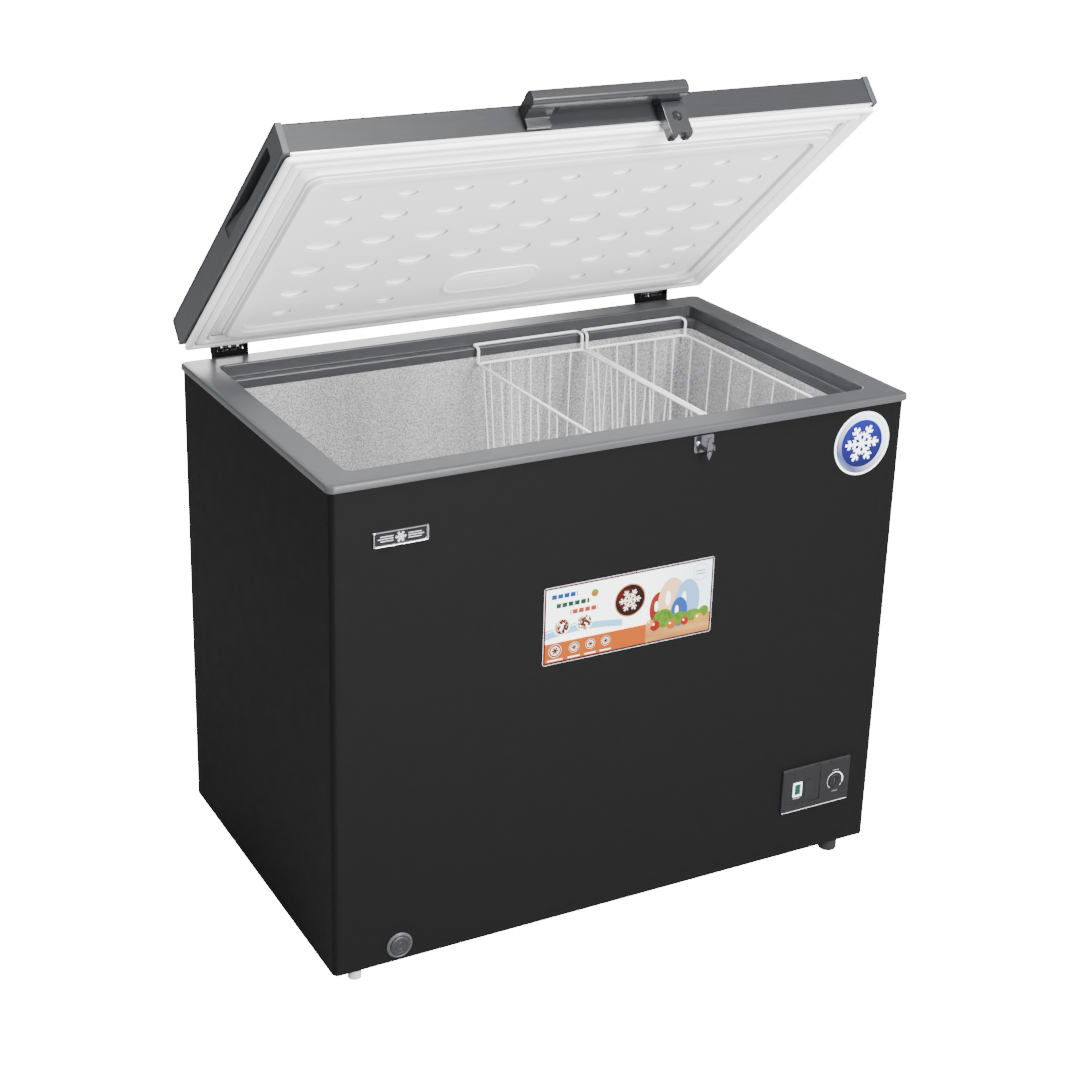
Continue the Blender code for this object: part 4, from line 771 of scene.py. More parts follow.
@dataclass(frozen=True)
class LabelFinish(Finish):
    """Printed film: pale field, dark border, orange foot, swoosh, round icons and a still life."""

    centre: Point = (0, 0)
    half: Point = (0.147, 0.0625)

    def at(self, across: float, down: float) -> Point:
        """Place from two shares of the label's width and height, counted from its top left."""
        return (2 * across - 1) * self.half[0], (1 - 2 * down) * self.half[1]

    def paint(self, graph: Graph) -> Signal:
        c = Canvas(graph, self.centre, self.colour)
        width, height = self.half
        for row, (left, right, down, colour) in enumerate((
            (0.04, 0.19, 0.13, ink(0.06, 0.42, 0.76)),
            (0.07, 0.26, 0.25, ink(0.10, 0.36, 0.26)),
            (0.15, 0.31, 0.36, ink(0.85, 0.28, 0.16)),
        )):
            x, z = self.at((left + right) / 2, down)
            dashes = graph.math("FRACT", (c.x + row * 0.003) / 0.0105) > 0.16
            c.fill(c.bar(x, z, (right - left) * 2 * width, 0.0075) & dashes, colour)
        rise = graph.math("SINE", (c.x + 0.147) * 24.0) * 0.006
        _, foot = self.at(0, 0.725)
        c.fill((abs(c.z - foot - 0.012 - rise) < 0.0055) & (c.x < -0.012), ink(0.50, 0.78, 0.92))
        c.fill((abs(c.z - foot - 0.020 - rise) < 0.0008) & (c.x < -0.08), ink(0.45, 0.70, 0.30))
        c.fill((c.z < foot) & (c.x < 0.03), ink(0.95, 0.48, 0.08))
        self._still_life(c, foot)
        for across, radius, inner in ((0.105, 0.0138, ink(0.42, 0.12, 0.10)),
                                      (0.235, 0.0140, ink(0.36, 0.22, 0.14))):
            x, z = self.at(across, 0.53)
            c.fill(c.disc(x, z, radius), ink(0.92, 0.92, 0.92))
            c.fill(c.disc(x, z, radius * 0.86) & (graph.noise(160.0, 2) > 0.46), inner)
            c.fill(c.disc(x, z, radius * 0.86) & (graph.noise(210.0, 1) > 0.62), ink(0.80, 0.60, 0.36))
        wine = ink(0.42, 0.06, 0.10)
        for across, radius in ((0.07, 0.0108), (0.18, 0.0086), (0.275, 0.0082), (0.365, 0.0080)):
            x, z = self.at(across, 0.83)
            c.fill(c.disc(x, z, radius), ink(0.92, 0.82, 0.76))
            c.fill(c.hoop(x, z, radius * 0.82, radius * 0.22), wine)
            c.fill(c.snowflake(x, z, radius * 0.55, radius * 0.16), wine)
            c.fill(c.bar(x, self.at(0, 0.95)[1], radius * 2.4, 0.0022), ink(0.96, 0.92, 0.88))
        x, z = self.at(0.29, 0.17)
        c.fill(c.disc(x, z, 0.0062), ink(0.52, 0.74, 0.12))
        c.fill(c.disc(x, z - 0.002, 0.0048, 1.8), ink(0.90, 0.46, 0.12))
        x, z = self.at(0.50, 0.36)
        c.fill(c.disc(x, z, 0.0270), ink(0.72, 0.54, 0.30))
        c.fill(c.disc(x, z, 0.0250), ink(0.24, 0.03, 0.05))
        c.fill(c.disc(x, z, 0.0250) & (c.far(x - 0.006, z + 0.004) < 0.016), ink(0.45, 0.05, 0.08))
        c.fill(c.snowflake(x, z, 0.0185, 0.0026), ink(0.88, 0.84, 0.78))
        x, z = self.at(0.92, 0.17)
        c.fill(c.hoop(x, z, 0.0135, 0.0009), ink(0.80, 0.42, 0.42))
        for lift in (0.0022, -0.0028):
            c.fill(c.bar(x, z + lift, 0.017, 0.0022), ink(0.42, 0.62, 0.52))
        inside = (abs(c.x) < width - 0.0034) & (abs(c.z) < height - 0.0034)
        border = (abs(c.x) < width - 0.0004) & (abs(c.z) < height - 0.0004)
        return graph.mix(inside, graph.mix(border, self.colour, ink(0.42, 0.06, 0.16)), c.colour)

    def _still_life(self, c: Canvas, foot: float) -> None:
        """Jugs, vegetables and fruit on a wooden board at the right."""
        right = c.x > 0.030
        grain = c.graph.noise(35.0, 3, (0.25, 1.0, 3.0))
        c.fill(right & (c.z < foot), c.graph.mix(grain, ink(0.62, 0.36, 0.16), ink(0.92, 0.70, 0.42)))
        haze = c.graph.math("SMOOTH_MAX", (c.x - 0.02) * 5.0, 0.0, 0.1)
        c.fill(right & (c.z > foot) & c.graph.math("MINIMUM", haze, 0.5), ink(0.70, 0.84, 0.93))
        for x, z, height, colour in ((0.052, 0.022, 0.034, ink(0.62, 0.20, 0.16)),
                                     (0.074, 0.030, 0.048, ink(0.88, 0.72, 0.58)),
                                     (0.102, 0.026, 0.044, ink(0.50, 0.66, 0.82)),
                                     (0.088, 0.010, 0.030, ink(0.22, 0.38, 0.68))):
            c.fill(c.disc(x, foot + z, height / 2, 0.62), colour)
            c.fill(c.disc(x - height * 0.14, foot + z + height * 0.12, height * 0.10, 0.4),
                   ink(0.95, 0.94, 0.92))
        leaf = c.graph.noise(120.0, 4)
        greens = c.graph.mix(leaf, ink(0.10, 0.34, 0.06), ink(0.52, 0.74, 0.22))
        for x, lift, radius, squeeze in ((0.060, 0.004, 0.017, 1.1), (0.088, -0.001, 0.015, 1.4),
                                         (0.113, 0.000, 0.017, 1.8), (0.133, 0.003, 0.009, 1.0)):
            c.fill(c.disc(x, foot + lift, radius, squeeze), greens)
        for x, lift, radius, colour in ((0.046, -0.006, 0.0085, ink(0.80, 0.10, 0.08)),
                                        (0.075, -0.009, 0.0075, ink(0.92, 0.50, 0.10)),
                                        (0.099, -0.008, 0.0065, ink(0.82, 0.14, 0.10)),
                                        (0.124, -0.007, 0.0078, ink(0.94, 0.74, 0.20)),
                                        (0.037, 0.000, 0.0060, ink(0.90, 0.64, 0.30))):
            c.fill(c.disc(x, foot + lift, radius), colour)
            c.fill(c.disc(x - radius * 0.3, foot + lift + radius * 0.35, radius * 0.22),
                   ink(0.96, 0.94, 0.90))


@dataclass(frozen=True)
class LinerFinish(Finish):
    """White moulding with light and shade painted by height: steep walls darker as painted shade, flange
    brighter as a painted highlight.

    Args:
        up: The lid's own up direction.
        start: Where its height is zero, along that direction.
        bands: Low end, high end and tone of each band of height; tones below 1 paint shade, tones above 1
            paint a highlight.
    """

    up: Spot = (0, 0, 1)
    start: float = 0.0
    bands: tuple[tuple[float, float, float], ...] = ()

    def paint(self, graph: Graph) -> Signal:
        where = graph.add("TexCoord", output="Object")
        height = graph.add("VectorMath", {0: where, 1: self.up}, "Value",
                           operation="DOT_PRODUCT") - self.start
        colour = self.colour
        # Each band scales the colour: painted shade where the tone is below 1, a painted highlight where it
        # is above 1.
        for low, high, tone in self.bands:
            colour = graph.mix((height > low) & (height < high), colour, tuple(c * tone for c in self.colour))
        return colour


@dataclass(frozen=True)
class StickerFinish(Finish):
    """Round film with a bright ring and a snowflake on blue."""

    centre: Point = (0, 0)
    radius: float = 0.052

    def paint(self, graph: Graph) -> Signal:
        c = Canvas(graph, self.centre, self.colour)
        tone = graph.math("MULTIPLY_ADD", c.x + c.z, 9.0, 0.5)
        silver = graph.mix(graph.math("PINGPONG", tone, 1.0), ink(0.30, 0.34, 0.50), ink(0.86, 0.89, 0.96))
        c.fill(c.disc(0, 0, self.radius * 0.93), silver)
        blue = graph.mix(graph.math("MULTIPLY_ADD", c.z, 9.0, 0.5), ink(0.10, 0.08, 0.34),
                         ink(0.20, 0.22, 0.62))
        c.fill(c.disc(0, 0, self.radius * 0.74), blue)
        c.fill(c.snowflake(0, 0, self.radius * 0.60, self.radius * 0.085), (0.88, 0.90, 0.95))
        return c.colour


@dataclass(frozen=True)
class PanelFinish(Finish):
    """Moulded panel with a printed scale round the dial."""

    centre: Point = (0, 0)
    dial: Point = (0, 0)

    def paint(self, graph: Graph) -> Signal:
        c = Canvas(graph, self.dial, self.colour)
        turn = graph.math("ARCTAN2", c.z, c.x)
        pale = (0.62, 0.62, 0.63)
        swell = graph.math("MULTIPLY_ADD", abs(turn), -0.0007, 0.0026)
        crescent = (abs(c.far(0, 0) - 0.0152) < swell * 0.55) & (turn > -0.35)
        c.fill(crescent, pale)
        c.fill(c.hoop(0, 0, 0.0152, 0.0005) & ((turn < -2.2) | (turn > -0.9)), pale)
        for lift in (0.0195, -0.0195):
            c.fill(c.bar(0, lift, 0.012, 0.0009) & (graph.math("FRACT", c.x / 0.003) > 0.3),
                   (0.30, 0.30, 0.31))
        lamp_x = 2 * self.centre[0] - self.dial[0]
        c.fill(c.bar(lamp_x - self.dial[0] + 0.001, -0.0165, 0.014, 0.0016)
               & (graph.math("FRACT", c.x / 0.0024) > 0.3), (0.35, 0.35, 0.36))
        return c.colour


@dataclass(frozen=True)
class DialFinish(Finish):
    """Dial face with a pale line in its coin slot."""

    centre: Point = (0, 0)

    def paint(self, graph: Graph) -> Signal:
        c = Canvas(graph, self.centre, self.colour)
        c.fill(c.bar(0, 0.0005, 0.0016, 0.0135), (0.28, 0.28, 0.29))
        c.fill(c.hoop(0, 0, 0.0107, 0.0006), (0.012, 0.012, 0.013))
        return c.colour


@dataclass(frozen=True)
class BadgeFinish(Finish):
    """Dark badge field with a bright snowflake between two bars."""

    centre: Point = (0, 0)

    def paint(self, graph: Graph) -> Signal:
        c = Canvas(graph, self.centre, self.colour)
        bright = (0.52, 0.52, 0.54)
        c.fill(c.snowflake(0, 0, 0.0085, 0.0012), bright)
        for side in (-1, 1):
            for lift, reach in ((0.0035, 0.020), (0, 0.024), (-0.0035, 0.020)):
                c.fill(c.bar(side * (0.0115 + reach / 2), lift, reach, 0.0011), bright)
        return c.colour


@dataclass(frozen=True)
class Face:
    """Middle and half size of a box, seen from the front."""

    x: float
    z: float
    wide: float
    tall: float

    @classmethod
    def of(cls, low: Vector, high: Vector) -> "Face":
        """Measures a box."""
        return cls((low.x + high.x) / 2, (low.z + high.z) / 2, (high.x - low.x) / 2, (high.z - low.z) / 2)

    @property
    def centre(self) -> Point:
        """X and Z of the middle."""
        return self.x, self.z

    def rings(self, rows: Sequence[Point], radius: float, steps: int) -> list[list[Spot]]:
        """Rounded rings inside the box.

        Args:
            rows: How far each ring lies inside the box, and its Y.
            radius: Radius of the corners.
            steps: Straight pieces in each corner.

        Returns:
            The points of each ring.
        """
        return [[(a, y, b) for a, b in rounded(self.wide - inset, self.tall - inset, radius, steps,
                                               self.centre)] for inset, y in rows]


def place_of(node: str) -> Point:
    """X and Z of a node's middle."""
    low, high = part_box(node)
    return (low.x + high.x) / 2, (low.z + high.z) / 2


class Palette:
    """Every finish on the freezer."""

    black = Finish("black_paint", (0.0034, 0.0034, 0.0036), 0.60, depth=0.00001, scale=900, drift=0.04,
                   worn=0.02, dusty=0.0, gloss=0.06)
    rim = Finish("rim_grey", (0.042, 0.043, 0.047), 0.32, scale=1300, depth=0.00003, worn=0.18, dusty=0.01,
                 gloss=0.35)
    lid = Finish("lid_grey", (0.019, 0.0195, 0.0215), 0.42, 0.0, Relief.BRUSHED, 900, 0.00002, dusty=0.0,
                 gloss=0.2)
    cap = Finish("cap_grey", (0.042, 0.043, 0.047), 0.42, scale=1200, depth=0.00003, worn=0.12, dusty=0.01,
                 gloss=0.25)
    handle = Finish("handle_grey", (0.020, 0.0205, 0.0225), 0.20, worn=0.1, scale=1100, depth=0.00001,
                    gloss=0.5)
    # Bright strips that paint the highlights along lower edges.
    painted_highlight = Finish("painted_edge_highlight", (0.80, 0.81, 0.83), 0.25, 0.6)
    aluminium = Finish("embossed_aluminium", (0.97, 0.97, 0.98), 0.34, 0.62, Relief.STUCCO, 460, 0.0007,
                       drift=0.06, dusty=0.0)
    white = Finish("white_liner", (0.95, 0.952, 0.96), 0.34, scale=500, depth=0.00002, drift=0.02, dusty=0.0)
    gasket = Finish("gasket", (0.93, 0.93, 0.935), 0.50, scale=800, drift=0.02, dusty=0.0)
    # Dark grey for the painted shade in the seal's grooves.
    groove = Finish("groove_shadow", (0.30, 0.30, 0.31), 0.6, dusty=0.0)
    foam = Finish("foam", (0.75, 0.68, 0.42), 0.9, scale=300, depth=0.0004)
    zinc = Finish("zinc", (0.60, 0.61, 0.63), 0.34, 0.9, worn=0.2)
    chrome = Finish("chrome", (0.50, 0.50, 0.52), 0.12, 1.0, drift=0.05)
    steel = Finish("striker_steel", (0.15, 0.15, 0.16), 0.20, 1.0, drift=0.2)
    copper = Finish("copper", (0.72, 0.36, 0.22), 0.34, 0.95, drift=0.3)
    dark = Finish("dark_plastic", (0.0085, 0.0085, 0.0095), 0.45, scale=1500, depth=0.00003, worn=0.03,
                  gloss=0.15)
    compressor = Finish("compressor_black", (0.010, 0.010, 0.011), 0.38, depth=0.00006, worn=0.1, dusty=0.06)
    rubber = Finish("rubber", (0.012, 0.012, 0.012), 0.75, scale=600, depth=0.00006, gloss=0.2)
    wire = Finish("white_coated_wire", (0.93, 0.93, 0.93), 0.26, coat=0.3, depth=0.00002, drift=0.02,
                  dusty=0.0)
    lamp = Finish("green_lens", (0.001, 0.040, 0.026), 0.25, gloss=0.2, drift=0.25)
    foot = Finish("light_grey_plastic", (0.42, 0.42, 0.43), 0.45, dusty=0.05)
    keyhole = Finish("keyhole_black", (0.002, 0.002, 0.002), 0.35, gloss=0.1)
    collar = Finish("collar_grey", (0.045, 0.046, 0.050), 0.38, worn=0.1, gloss=0.3)
    drain = Finish("drain_grey", (0.012, 0.012, 0.014), 0.38, worn=0.1, gloss=0.3)


# ---------------------------------------------------------------- pieces


def piece(name: str, shape: Shape, finish: Finish, body: Body, replaces: Sequence[str] = (),
          smooth: float = 40, weighted: bool = True) -> bpy.types.Object:
    """Turns a shape into a finished object that rides on a body.

    Args:
        name: Name of the piece.
        shape: Its solid, in cabinet or closed lid coordinates.
        finish: What it is made of.
        body: What it moves with.
        replaces: CAD nodes that it stands for.
        smooth: Edges sharper than this stay sharp, in degrees.
        weighted: Keeps broad faces flat where they meet rounds.

    Returns:
        The object.
    """
    on_lid = body in (Body.LID, Body.LOCK, Body.HOOK)
    shape.shifted(LAYOUT.lid if on_lid else LAYOUT.cabinet)
    data = bpy.data.meshes.new(name)
    shape.bm.to_mesh(data)
    shape.bm.free()
    data.shade_smooth()
    data.set_sharp_from_angle(angle=math.radians(smooth))
    data.materials.append(finish.material())
    obj = bpy.data.objects.new(name, data)
    bpy.context.scene.collection.objects.link(obj)
    if weighted:
        step = obj.modifiers.new("flat_faces", "WEIGHTED_NORMAL")
        step.keep_sharp = True
    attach(obj, body.value)
    if replaces:
        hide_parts(*replaces)
    return obj


LAYOUT = Layout.read()


@dataclass
class Cabinet:
    """Outer shell, rim, tank and feet."""

    corner: float = 0.009
    sheet: float = 0.0008
    overhang: float = 0.0055
    skirt: float = 0.0115
    band: float = 0.047
    ledge_drop: float = 0.021
    ledge: Point = (0.007, 0.021)
    lip_drop: float = 0.015
    tank_corner: float = 0.018
    step_length: float = 0.270
    step_top: float = 0.335

    def build(self) -> None:
        """Makes every piece."""
        self.shell()
        self.rim()
        self.tank()
        self.feet()

    def shell(self) -> None:
        """Sides and front folded from one sheet, with its openings."""
        low, high = LAYOUT.closed_box("cabinet_wrapper")
        r, t = self.corner, self.sheet
        x, y = high.x, high.y
        outer = [(-x, y), *arc((-x + r, -y + r), r, 180, 270, 10), *arc((x - r, -y + r), r, 270, 360, 10),
                 (x, y)]
        inner = [(-x + t, y), *arc((-x + r, -y + r), r - t, 180, 270, 10),
                 *arc((x - r, -y + r), r - t, 270, 360, 10), (x - t, y)]
        shape = Shape().sheet(outer, inner, low.z, high.z, Axis.Z)
        vent_low, vent_high = LAYOUT.closed_box("side_grille")
        inset = 0.008
        vent = Shape().block((x - 0.01, vent_low.y + inset, vent_low.z + inset),
                             (x + 0.01, vent_high.y - inset, vent_high.z - inset))
        panel_low, panel_high = LAYOUT.closed_box("control_panel")
        panel = Shape().block((panel_low.x + 0.004, -y - 0.01, panel_low.z + 0.004),
                              (panel_high.x - 0.004, -y + 0.01, panel_high.z - 0.004))
        shape.carved(vent, panel)
        piece("outer_shell", shape, Palette.black, Body.CABINET, ["cabinet_wrapper"], 50)

    def rim(self) -> None:
        """Moulded frame with a rounded edge, a basket ledge and a lower lip."""
        x, y, top = LAYOUT.half_x, LAYOUT.half_y, LAYOUT.rim_top
        low = top - self.skirt
        ledge = top - self.ledge_drop
        lip = ledge - self.lip_drop
        wall, draft = 0.0025, 0.001
        mouth = [self.band + 0.0015] * 2
        tank = [mouth[0] + draft + self.ledge[0], mouth[1] + draft + self.ledge[1]]
        corner = 0.014
        rows = [(0.0008, 0.0008, low, 0.011), (0, 0, low + 0.0012, 0.012), (0, 0, top - 0.0042, 0.012)]
        rows += [(0.0030 - 0.0030 * math.cos(a), 0.0030 - 0.0030 * math.cos(a),
                  top - 0.0042 + 0.0034 * math.sin(a), 0.012) for a in (0.4, 0.8, 1.2, 1.5)]
        rows += [(0.0062, 0.0062, top - 0.0004, 0.012), (0.0070, 0.0070, top, 0.012)]
        rows += [(mouth[0] - 0.0030 + 0.0030 * math.sin(a), mouth[1] - 0.0030 + 0.0030 * math.sin(a),
                  top - 0.0030 + 0.0030 * math.cos(a), corner) for a in (0, 0.4, 0.8, 1.2, 1.57)]
        rows += [(mouth[0] + draft, mouth[1] + draft, ledge + 0.0015, corner),
                 (mouth[0] + draft + 0.0012, mouth[1] + draft + 0.0015, ledge, corner),
                 (tank[0] - 0.0030, tank[1] - 0.0060, ledge, 0.016),
                 (tank[0] - 0.0024, tank[1] - 0.0045, ledge + 0.0020, 0.016),
                 (tank[0] - 0.0012, tank[1] - 0.0020, ledge + 0.0020, 0.016),
                 (tank[0] - 0.0002, tank[1] - 0.0002, ledge - 0.0004, 0.017),
                 (tank[0], tank[1], ledge - 0.0020, 0.018), (tank[0], tank[1], lip, 0.018),
                 (tank[0] - wall, tank[1] - wall, lip, 0.018),
                 (tank[0] - wall, tank[1] - wall, ledge - wall, 0.018),
                 (mouth[0], mouth[1], ledge - wall, corner),
                 (mouth[0] - 0.002, mouth[1] - 0.002, top - 0.004, corner),
                 (self.overhang - 0.0005, self.overhang - 0.0005, top - 0.003, 0.002),
                 (self.overhang - 0.0005, self.overhang - 0.0005, low, 0.002)]
        loops = [[(a, b, z) for a, b in rounded(x - dx, y - dy, radius, 8)] for dx, dy, z, radius in rows]
        piece("rim", Shape().loft(loops, ring=True), Palette.rim, Body.CABINET, ["top_rim"], 55)

    def tank(self) -> None:
        """Embossed aluminium tank with its step."""
        low, high = LAYOUT.closed_box("inner_liner")
        t = self.sheet
        x, y = high.x - t, high.y - t
        step_x, step_z = x - self.step_length, self.step_top
        floor = low.z + t
        shape = Shape()
        outline = [(-x, high.z), (-x, floor), (step_x, floor), (step_x, step_z), (x, step_z), (x, high.z)]
        shape.prism(outline, -y, y, Axis.Y)
        lid_faces = [f for f in shape.bm.faces if all(v.co.z > high.z - 1e-6 for v in f.verts)]
        bmesh.ops.delete(shape.bm, geom=lid_faces, context="FACES_ONLY")
        folds = [e for e in shape.bm.edges if len(e.link_faces) == 2]
        bmesh.ops.bevel(shape.bm, geom=folds, offset=self.tank_corner, segments=7, affect="EDGES",
                        profile=0.5, material=-1)
        bmesh.ops.solidify(shape.bm, geom=list(shape.bm.faces), thickness=-t)
        bmesh.ops.recalc_face_normals(shape.bm, faces=shape.bm.faces)
        piece("tank", shape, Palette.aluminium, Body.CABINET, ["inner_liner"], 50)

    def feet(self) -> None:
        """Ribbed levelling feet on the left and plain black pads on the right."""
        for side in ("front", "back"):
            node = f"levelling_foot_{side}"
            low, high = LAYOUT.closed_box(node)
            r = (high.x - low.x) / 2
            centre = ((low.x + high.x) / 2, (low.y + high.y) / 2, 0)
            outline = [(0, 0), (r - 0.002, 0), (r, 0.0015)]
            for rib in range(4):
                z = 0.0025 + 0.003 * rib
                outline += [(r, z), (r - 0.0012, z + 0.0007), (r - 0.0012, z + 0.0017), (r, z + 0.0024)]
            outline += [(r - 0.001, 0.0150), (0.0060, 0.0155), (0.0060, high.z), (0, high.z)]
            piece(f"ribbed_foot_{side}", Shape().turned(outline, centre), Palette.foot, Body.CABINET, [node],
                  30)
            node = f"pad_foot_{side}"
            low, high = LAYOUT.closed_box(node)
            r = (high.x - low.x) / 2
            centre = ((low.x + high.x) / 2, (low.y + high.y) / 2, 0)
            outline = [(0, 0), (r - 0.003, 0), (r - 0.0008, 0.0012), (r, 0.0035), (r, 0.0120),
                       (r - 0.0015, 0.0128), (r - 0.0015, 0.0142), (r, 0.0150), (r, high.z), (0, high.z)]
            piece(f"black_foot_{side}", Shape().turned(outline, centre), Palette.rubber, Body.CABINET, [node],
                  30)


@dataclass
class Basket:
    """One hanging basket of plastic-coated wire."""

    side: str
    body: Body
    drop: float = 0.0455
    width: float = 0.207
    length: float = 0.456
    height: float = 0.220
    lean: float = 0.012
    frame_wire: float = 0.0025
    thin_wire: float = 0.0014
    side_pitch: float = 0.0627
    end_pitch: float = 0.0390

    def build(self) -> None:
        """Makes the basket as one welded piece."""
        low, high = LAYOUT.closed_box(f"basket_{self.side}")
        x = (low.x + high.x) / 2
        z = LAYOUT.rim_top - self.drop
        bottom = z - self.height + self.frame_wire
        half_x, half_y = self.width / 2 - self.frame_wire, self.length / 2 - self.frame_wire
        shape = Shape()
        ring = [(x + a, b, z) for a, b in rounded(half_x, half_y, 0.012, 5)]
        shape.tube(ring, self.frame_wire, 10, closed=True)
        foot_x, foot_y = half_x - self.lean, half_y - self.lean
        base = [(x + a, b, bottom) for a, b in rounded(foot_x, foot_y, 0.015, 5)]
        shape.tube(base, self.thin_wire * 1.3, 8, closed=True)
        for step in range(-3, 4):
            y = step * self.side_pitch + 0.016
            lean_y = y * (foot_y / half_y)
            path = [(x - half_x, y, z), (x - foot_x, lean_y, bottom), (x + foot_x, lean_y, bottom),
                    (x + half_x, y, z)]
            shape.tube(bent(path, 0.010, 4), self.thin_wire, 7)
        for step in range(-2, 3):
            a = step * self.end_pitch
            lean_a = a * (foot_x / half_x)
            path = [(x + a, -half_y, z), (x + lean_a, -foot_y, bottom + self.thin_wire * 1.6),
                    (x + lean_a, foot_y, bottom + self.thin_wire * 1.6), (x + a, half_y, z)]
            shape.tube(bent(path, 0.010, 4), self.thin_wire, 7)
        lift = high.z - self.frame_wire
        reach = half_x - 0.001
        for sign, edge in ((-1, low.y), (1, high.y)):
            outer = edge - sign * self.frame_wire
            inner = sign * half_y
            path = [(x - reach, inner, z), (x - reach, inner, lift), (x - reach, outer, lift),
                    (x + reach, outer, lift), (x + reach, inner, lift), (x + reach, inner, z)]
            shape.tube(bent(path, 0.006, 5), self.frame_wire, 10)
        piece(f"wire_basket_{self.side}", shape, Palette.wire, self.body, [f"basket_{self.side}"],
              60, weighted=False)


@dataclass
class Lid:
    """Outer skin, end caps, white inner moulding, seal and blank."""

    cap_width: float = 0.010
    skin: float = 0.0007
    round: float = 0.004
    plug: Point = (0.043, 0.057)
    ridge: float = 0.017
    field_lift: float = 0.007
    grip: tuple[float, float, float, float] = (0.046, 0.236, 0.020, 0.021)
    bottom: float = 0.0
    half_x: float = 0.0
    half_y: float = 0.0

    def build(self) -> None:
        """Makes every piece."""
        self.half_x, self.half_y = LAYOUT.half_x, LAYOUT.half_y
        self.bottom = LAYOUT.rim_top + 0.010
        self.outer()
        self.inner()
        self.seal()
        self.blank()
        for side, sign in (("left", -1), ("right", 1)):
            self.cap(side, sign)

    def outer(self) -> None:
        """Brushed sheet folded down at front and back, with a bright strip along the front's lower edge as a
        painted highlight.
        """
        low, high = LAYOUT.closed_box("lid_skin")
        r, t, y = self.round, self.skin, self.half_y
        path = [(-y, low.z), *arc((-y + r, high.z - r), r, 180, 90, 6),
                *arc((y - r, high.z - r), r, 90, 0, 6), (y, low.z)]
        inside = [(-y + t, low.z), *arc((-y + r, high.z - r), r - t, 180, 90, 6),
                  *arc((y - r, high.z - r), r - t, 90, 0, 6), (y - t, low.z)]
        shape = Shape().sheet(path, inside, low.x, high.x, Axis.X)
        piece("lid_sheet", shape, Palette.lid, Body.LID, ["lid_skin"], 40)
        # Painted highlight: a bright strip along the lower edge of the front.
        edge = Shape().block((low.x, -y - 0.0004, self.bottom),
                             (high.x, -y + 0.004, self.bottom + 0.0022)).bevel(0.0004)
        piece("lid_edge_highlight", edge, Palette.painted_highlight, Body.LID)

    def dimples(self) -> list[tuple[Point, Point]]:
        """Centres and half sizes of the oval recesses."""
        pitch = 0.0887
        rows = ((-0.182, 0.0120), (-0.117, 0.0165), (-0.041, 0.0205),
                (0.041, 0.0205), (0.118, 0.0165), (0.184, 0.0120))
        found = []
        for y, half in rows:
            for column in range(-4, 5):
                if y > 0.1 and abs(column) < 2:
                    continue
                found.append(((column * pitch, y), (half * 1.28, half * 0.86)))
        return found

    def inner(self) -> None:
        """White moulding: flange, raised frame and dimpled field."""
        low, high = LAYOUT.closed_box("lid_liner")
        flange, ridge_z = high.z - 0.0012, low.z
        field_z = ridge_z + self.field_lift
        x, y = self.half_x, self.half_y
        rows = [(high.x, high.y, flange + 0.0011, 0.004), (high.x, high.y, flange, 0.004)]
        base, slope = self.plug[0], self.plug[1] - self.plug[0]
        rows += [(x - base + 0.004, y - base + 0.004, flange, 0.024),
                 (x - base + 0.001, y - base + 0.001, flange - 0.0010, 0.023)]
        rows += [(x - base - slope * f, y - base - slope * f, flange - (flange - ridge_z) * g, 0.022)
                 for f, g in ((0.10, 0.12), (0.50, 0.55), (0.86, 0.92), (1.0, 0.985), (1.16, 1.0))]
        edge = base + slope + self.ridge
        rows += [(x - edge + 0.0015, y - edge + 0.0015, ridge_z, 0.020),
                 (x - edge - 0.0005, y - edge - 0.0005, ridge_z + 0.0010, 0.020),
                 (x - edge - 0.0035, y - edge - 0.0035, field_z - 0.0015, 0.020),
                 (x - edge - 0.0055, y - edge - 0.0055, field_z, 0.020),
                 (x - edge - 0.0100, y - edge - 0.0100, field_z, 0.020)]
        shape = Shape()
        bm = shape.bm
        loops = [[bm.verts.new((a, b, z)) for a, b in rounded(hx, hy, radius, 8)]
                 for hx, hy, z, radius in rows]
        for upper, lower in zip(loops, loops[1:]):
            count = len(upper)
            for i in range(count):
                j = (i + 1) % count
                bm.faces.new((upper[i], upper[j], lower[j], lower[i]))
        bm.faces.new(loops[0])
        last = loops[-1]
        edges = [bm.edges.get((last[i], last[(i + 1) % len(last)])) for i in range(len(last))]
        sides = 28
        for centre, (hx, hy) in self.dimples():
            rings = [(1.05, 0.0), (1.03, 0.0002), (0.985, 0.0026), (0.91, 0.0046), (0.78, 0.0058),
                     (0.4, 0.0064)]
            bowl = [[bm.verts.new((a, b, field_z + lift)) for a, b in oval(hx * f, hy * f, sides, centre)]
                    for f, lift in rings]
            for outer, inside in zip(bowl, bowl[1:]):
                for i in range(sides):
                    j = (i + 1) % sides
                    bm.faces.new((outer[i], outer[j], inside[j], inside[i]))
            bm.faces.new(bowl[-1])
            edges += [bm.edges.get((bowl[0][i], bowl[0][(i + 1) % sides])) for i in range(sides)]
        bmesh.ops.triangle_fill(bm, use_beauty=True, use_dissolve=False, edges=edges)
        bmesh.ops.recalc_face_normals(bm, faces=bm.faces)
        up = LAYOUT.lid.to_3x3().col[2]
        # Painted shade on the lower slope, the frame's inner wall and the recess walls; painted highlight on
        # the recess floors, the upper slope and the flange.
        finish = LinerFinish("moulded_liner", (0.84, 0.843, 0.852), 0.34, scale=500, depth=0.00002,
                             drift=0.02, dusty=0.0, up=tuple(up), start=up.dot(LAYOUT.lid.translation),
                             bands=((ridge_z + 0.0012, field_z - 0.0012, 0.55),
                                    (field_z + 0.0004, field_z + 0.0030, 0.50),
                                    (field_z + 0.0030, high.z + 0.001, 1.14)))
        piece("lid_moulding", shape, finish, Body.LID, ["lid_liner"], 42)

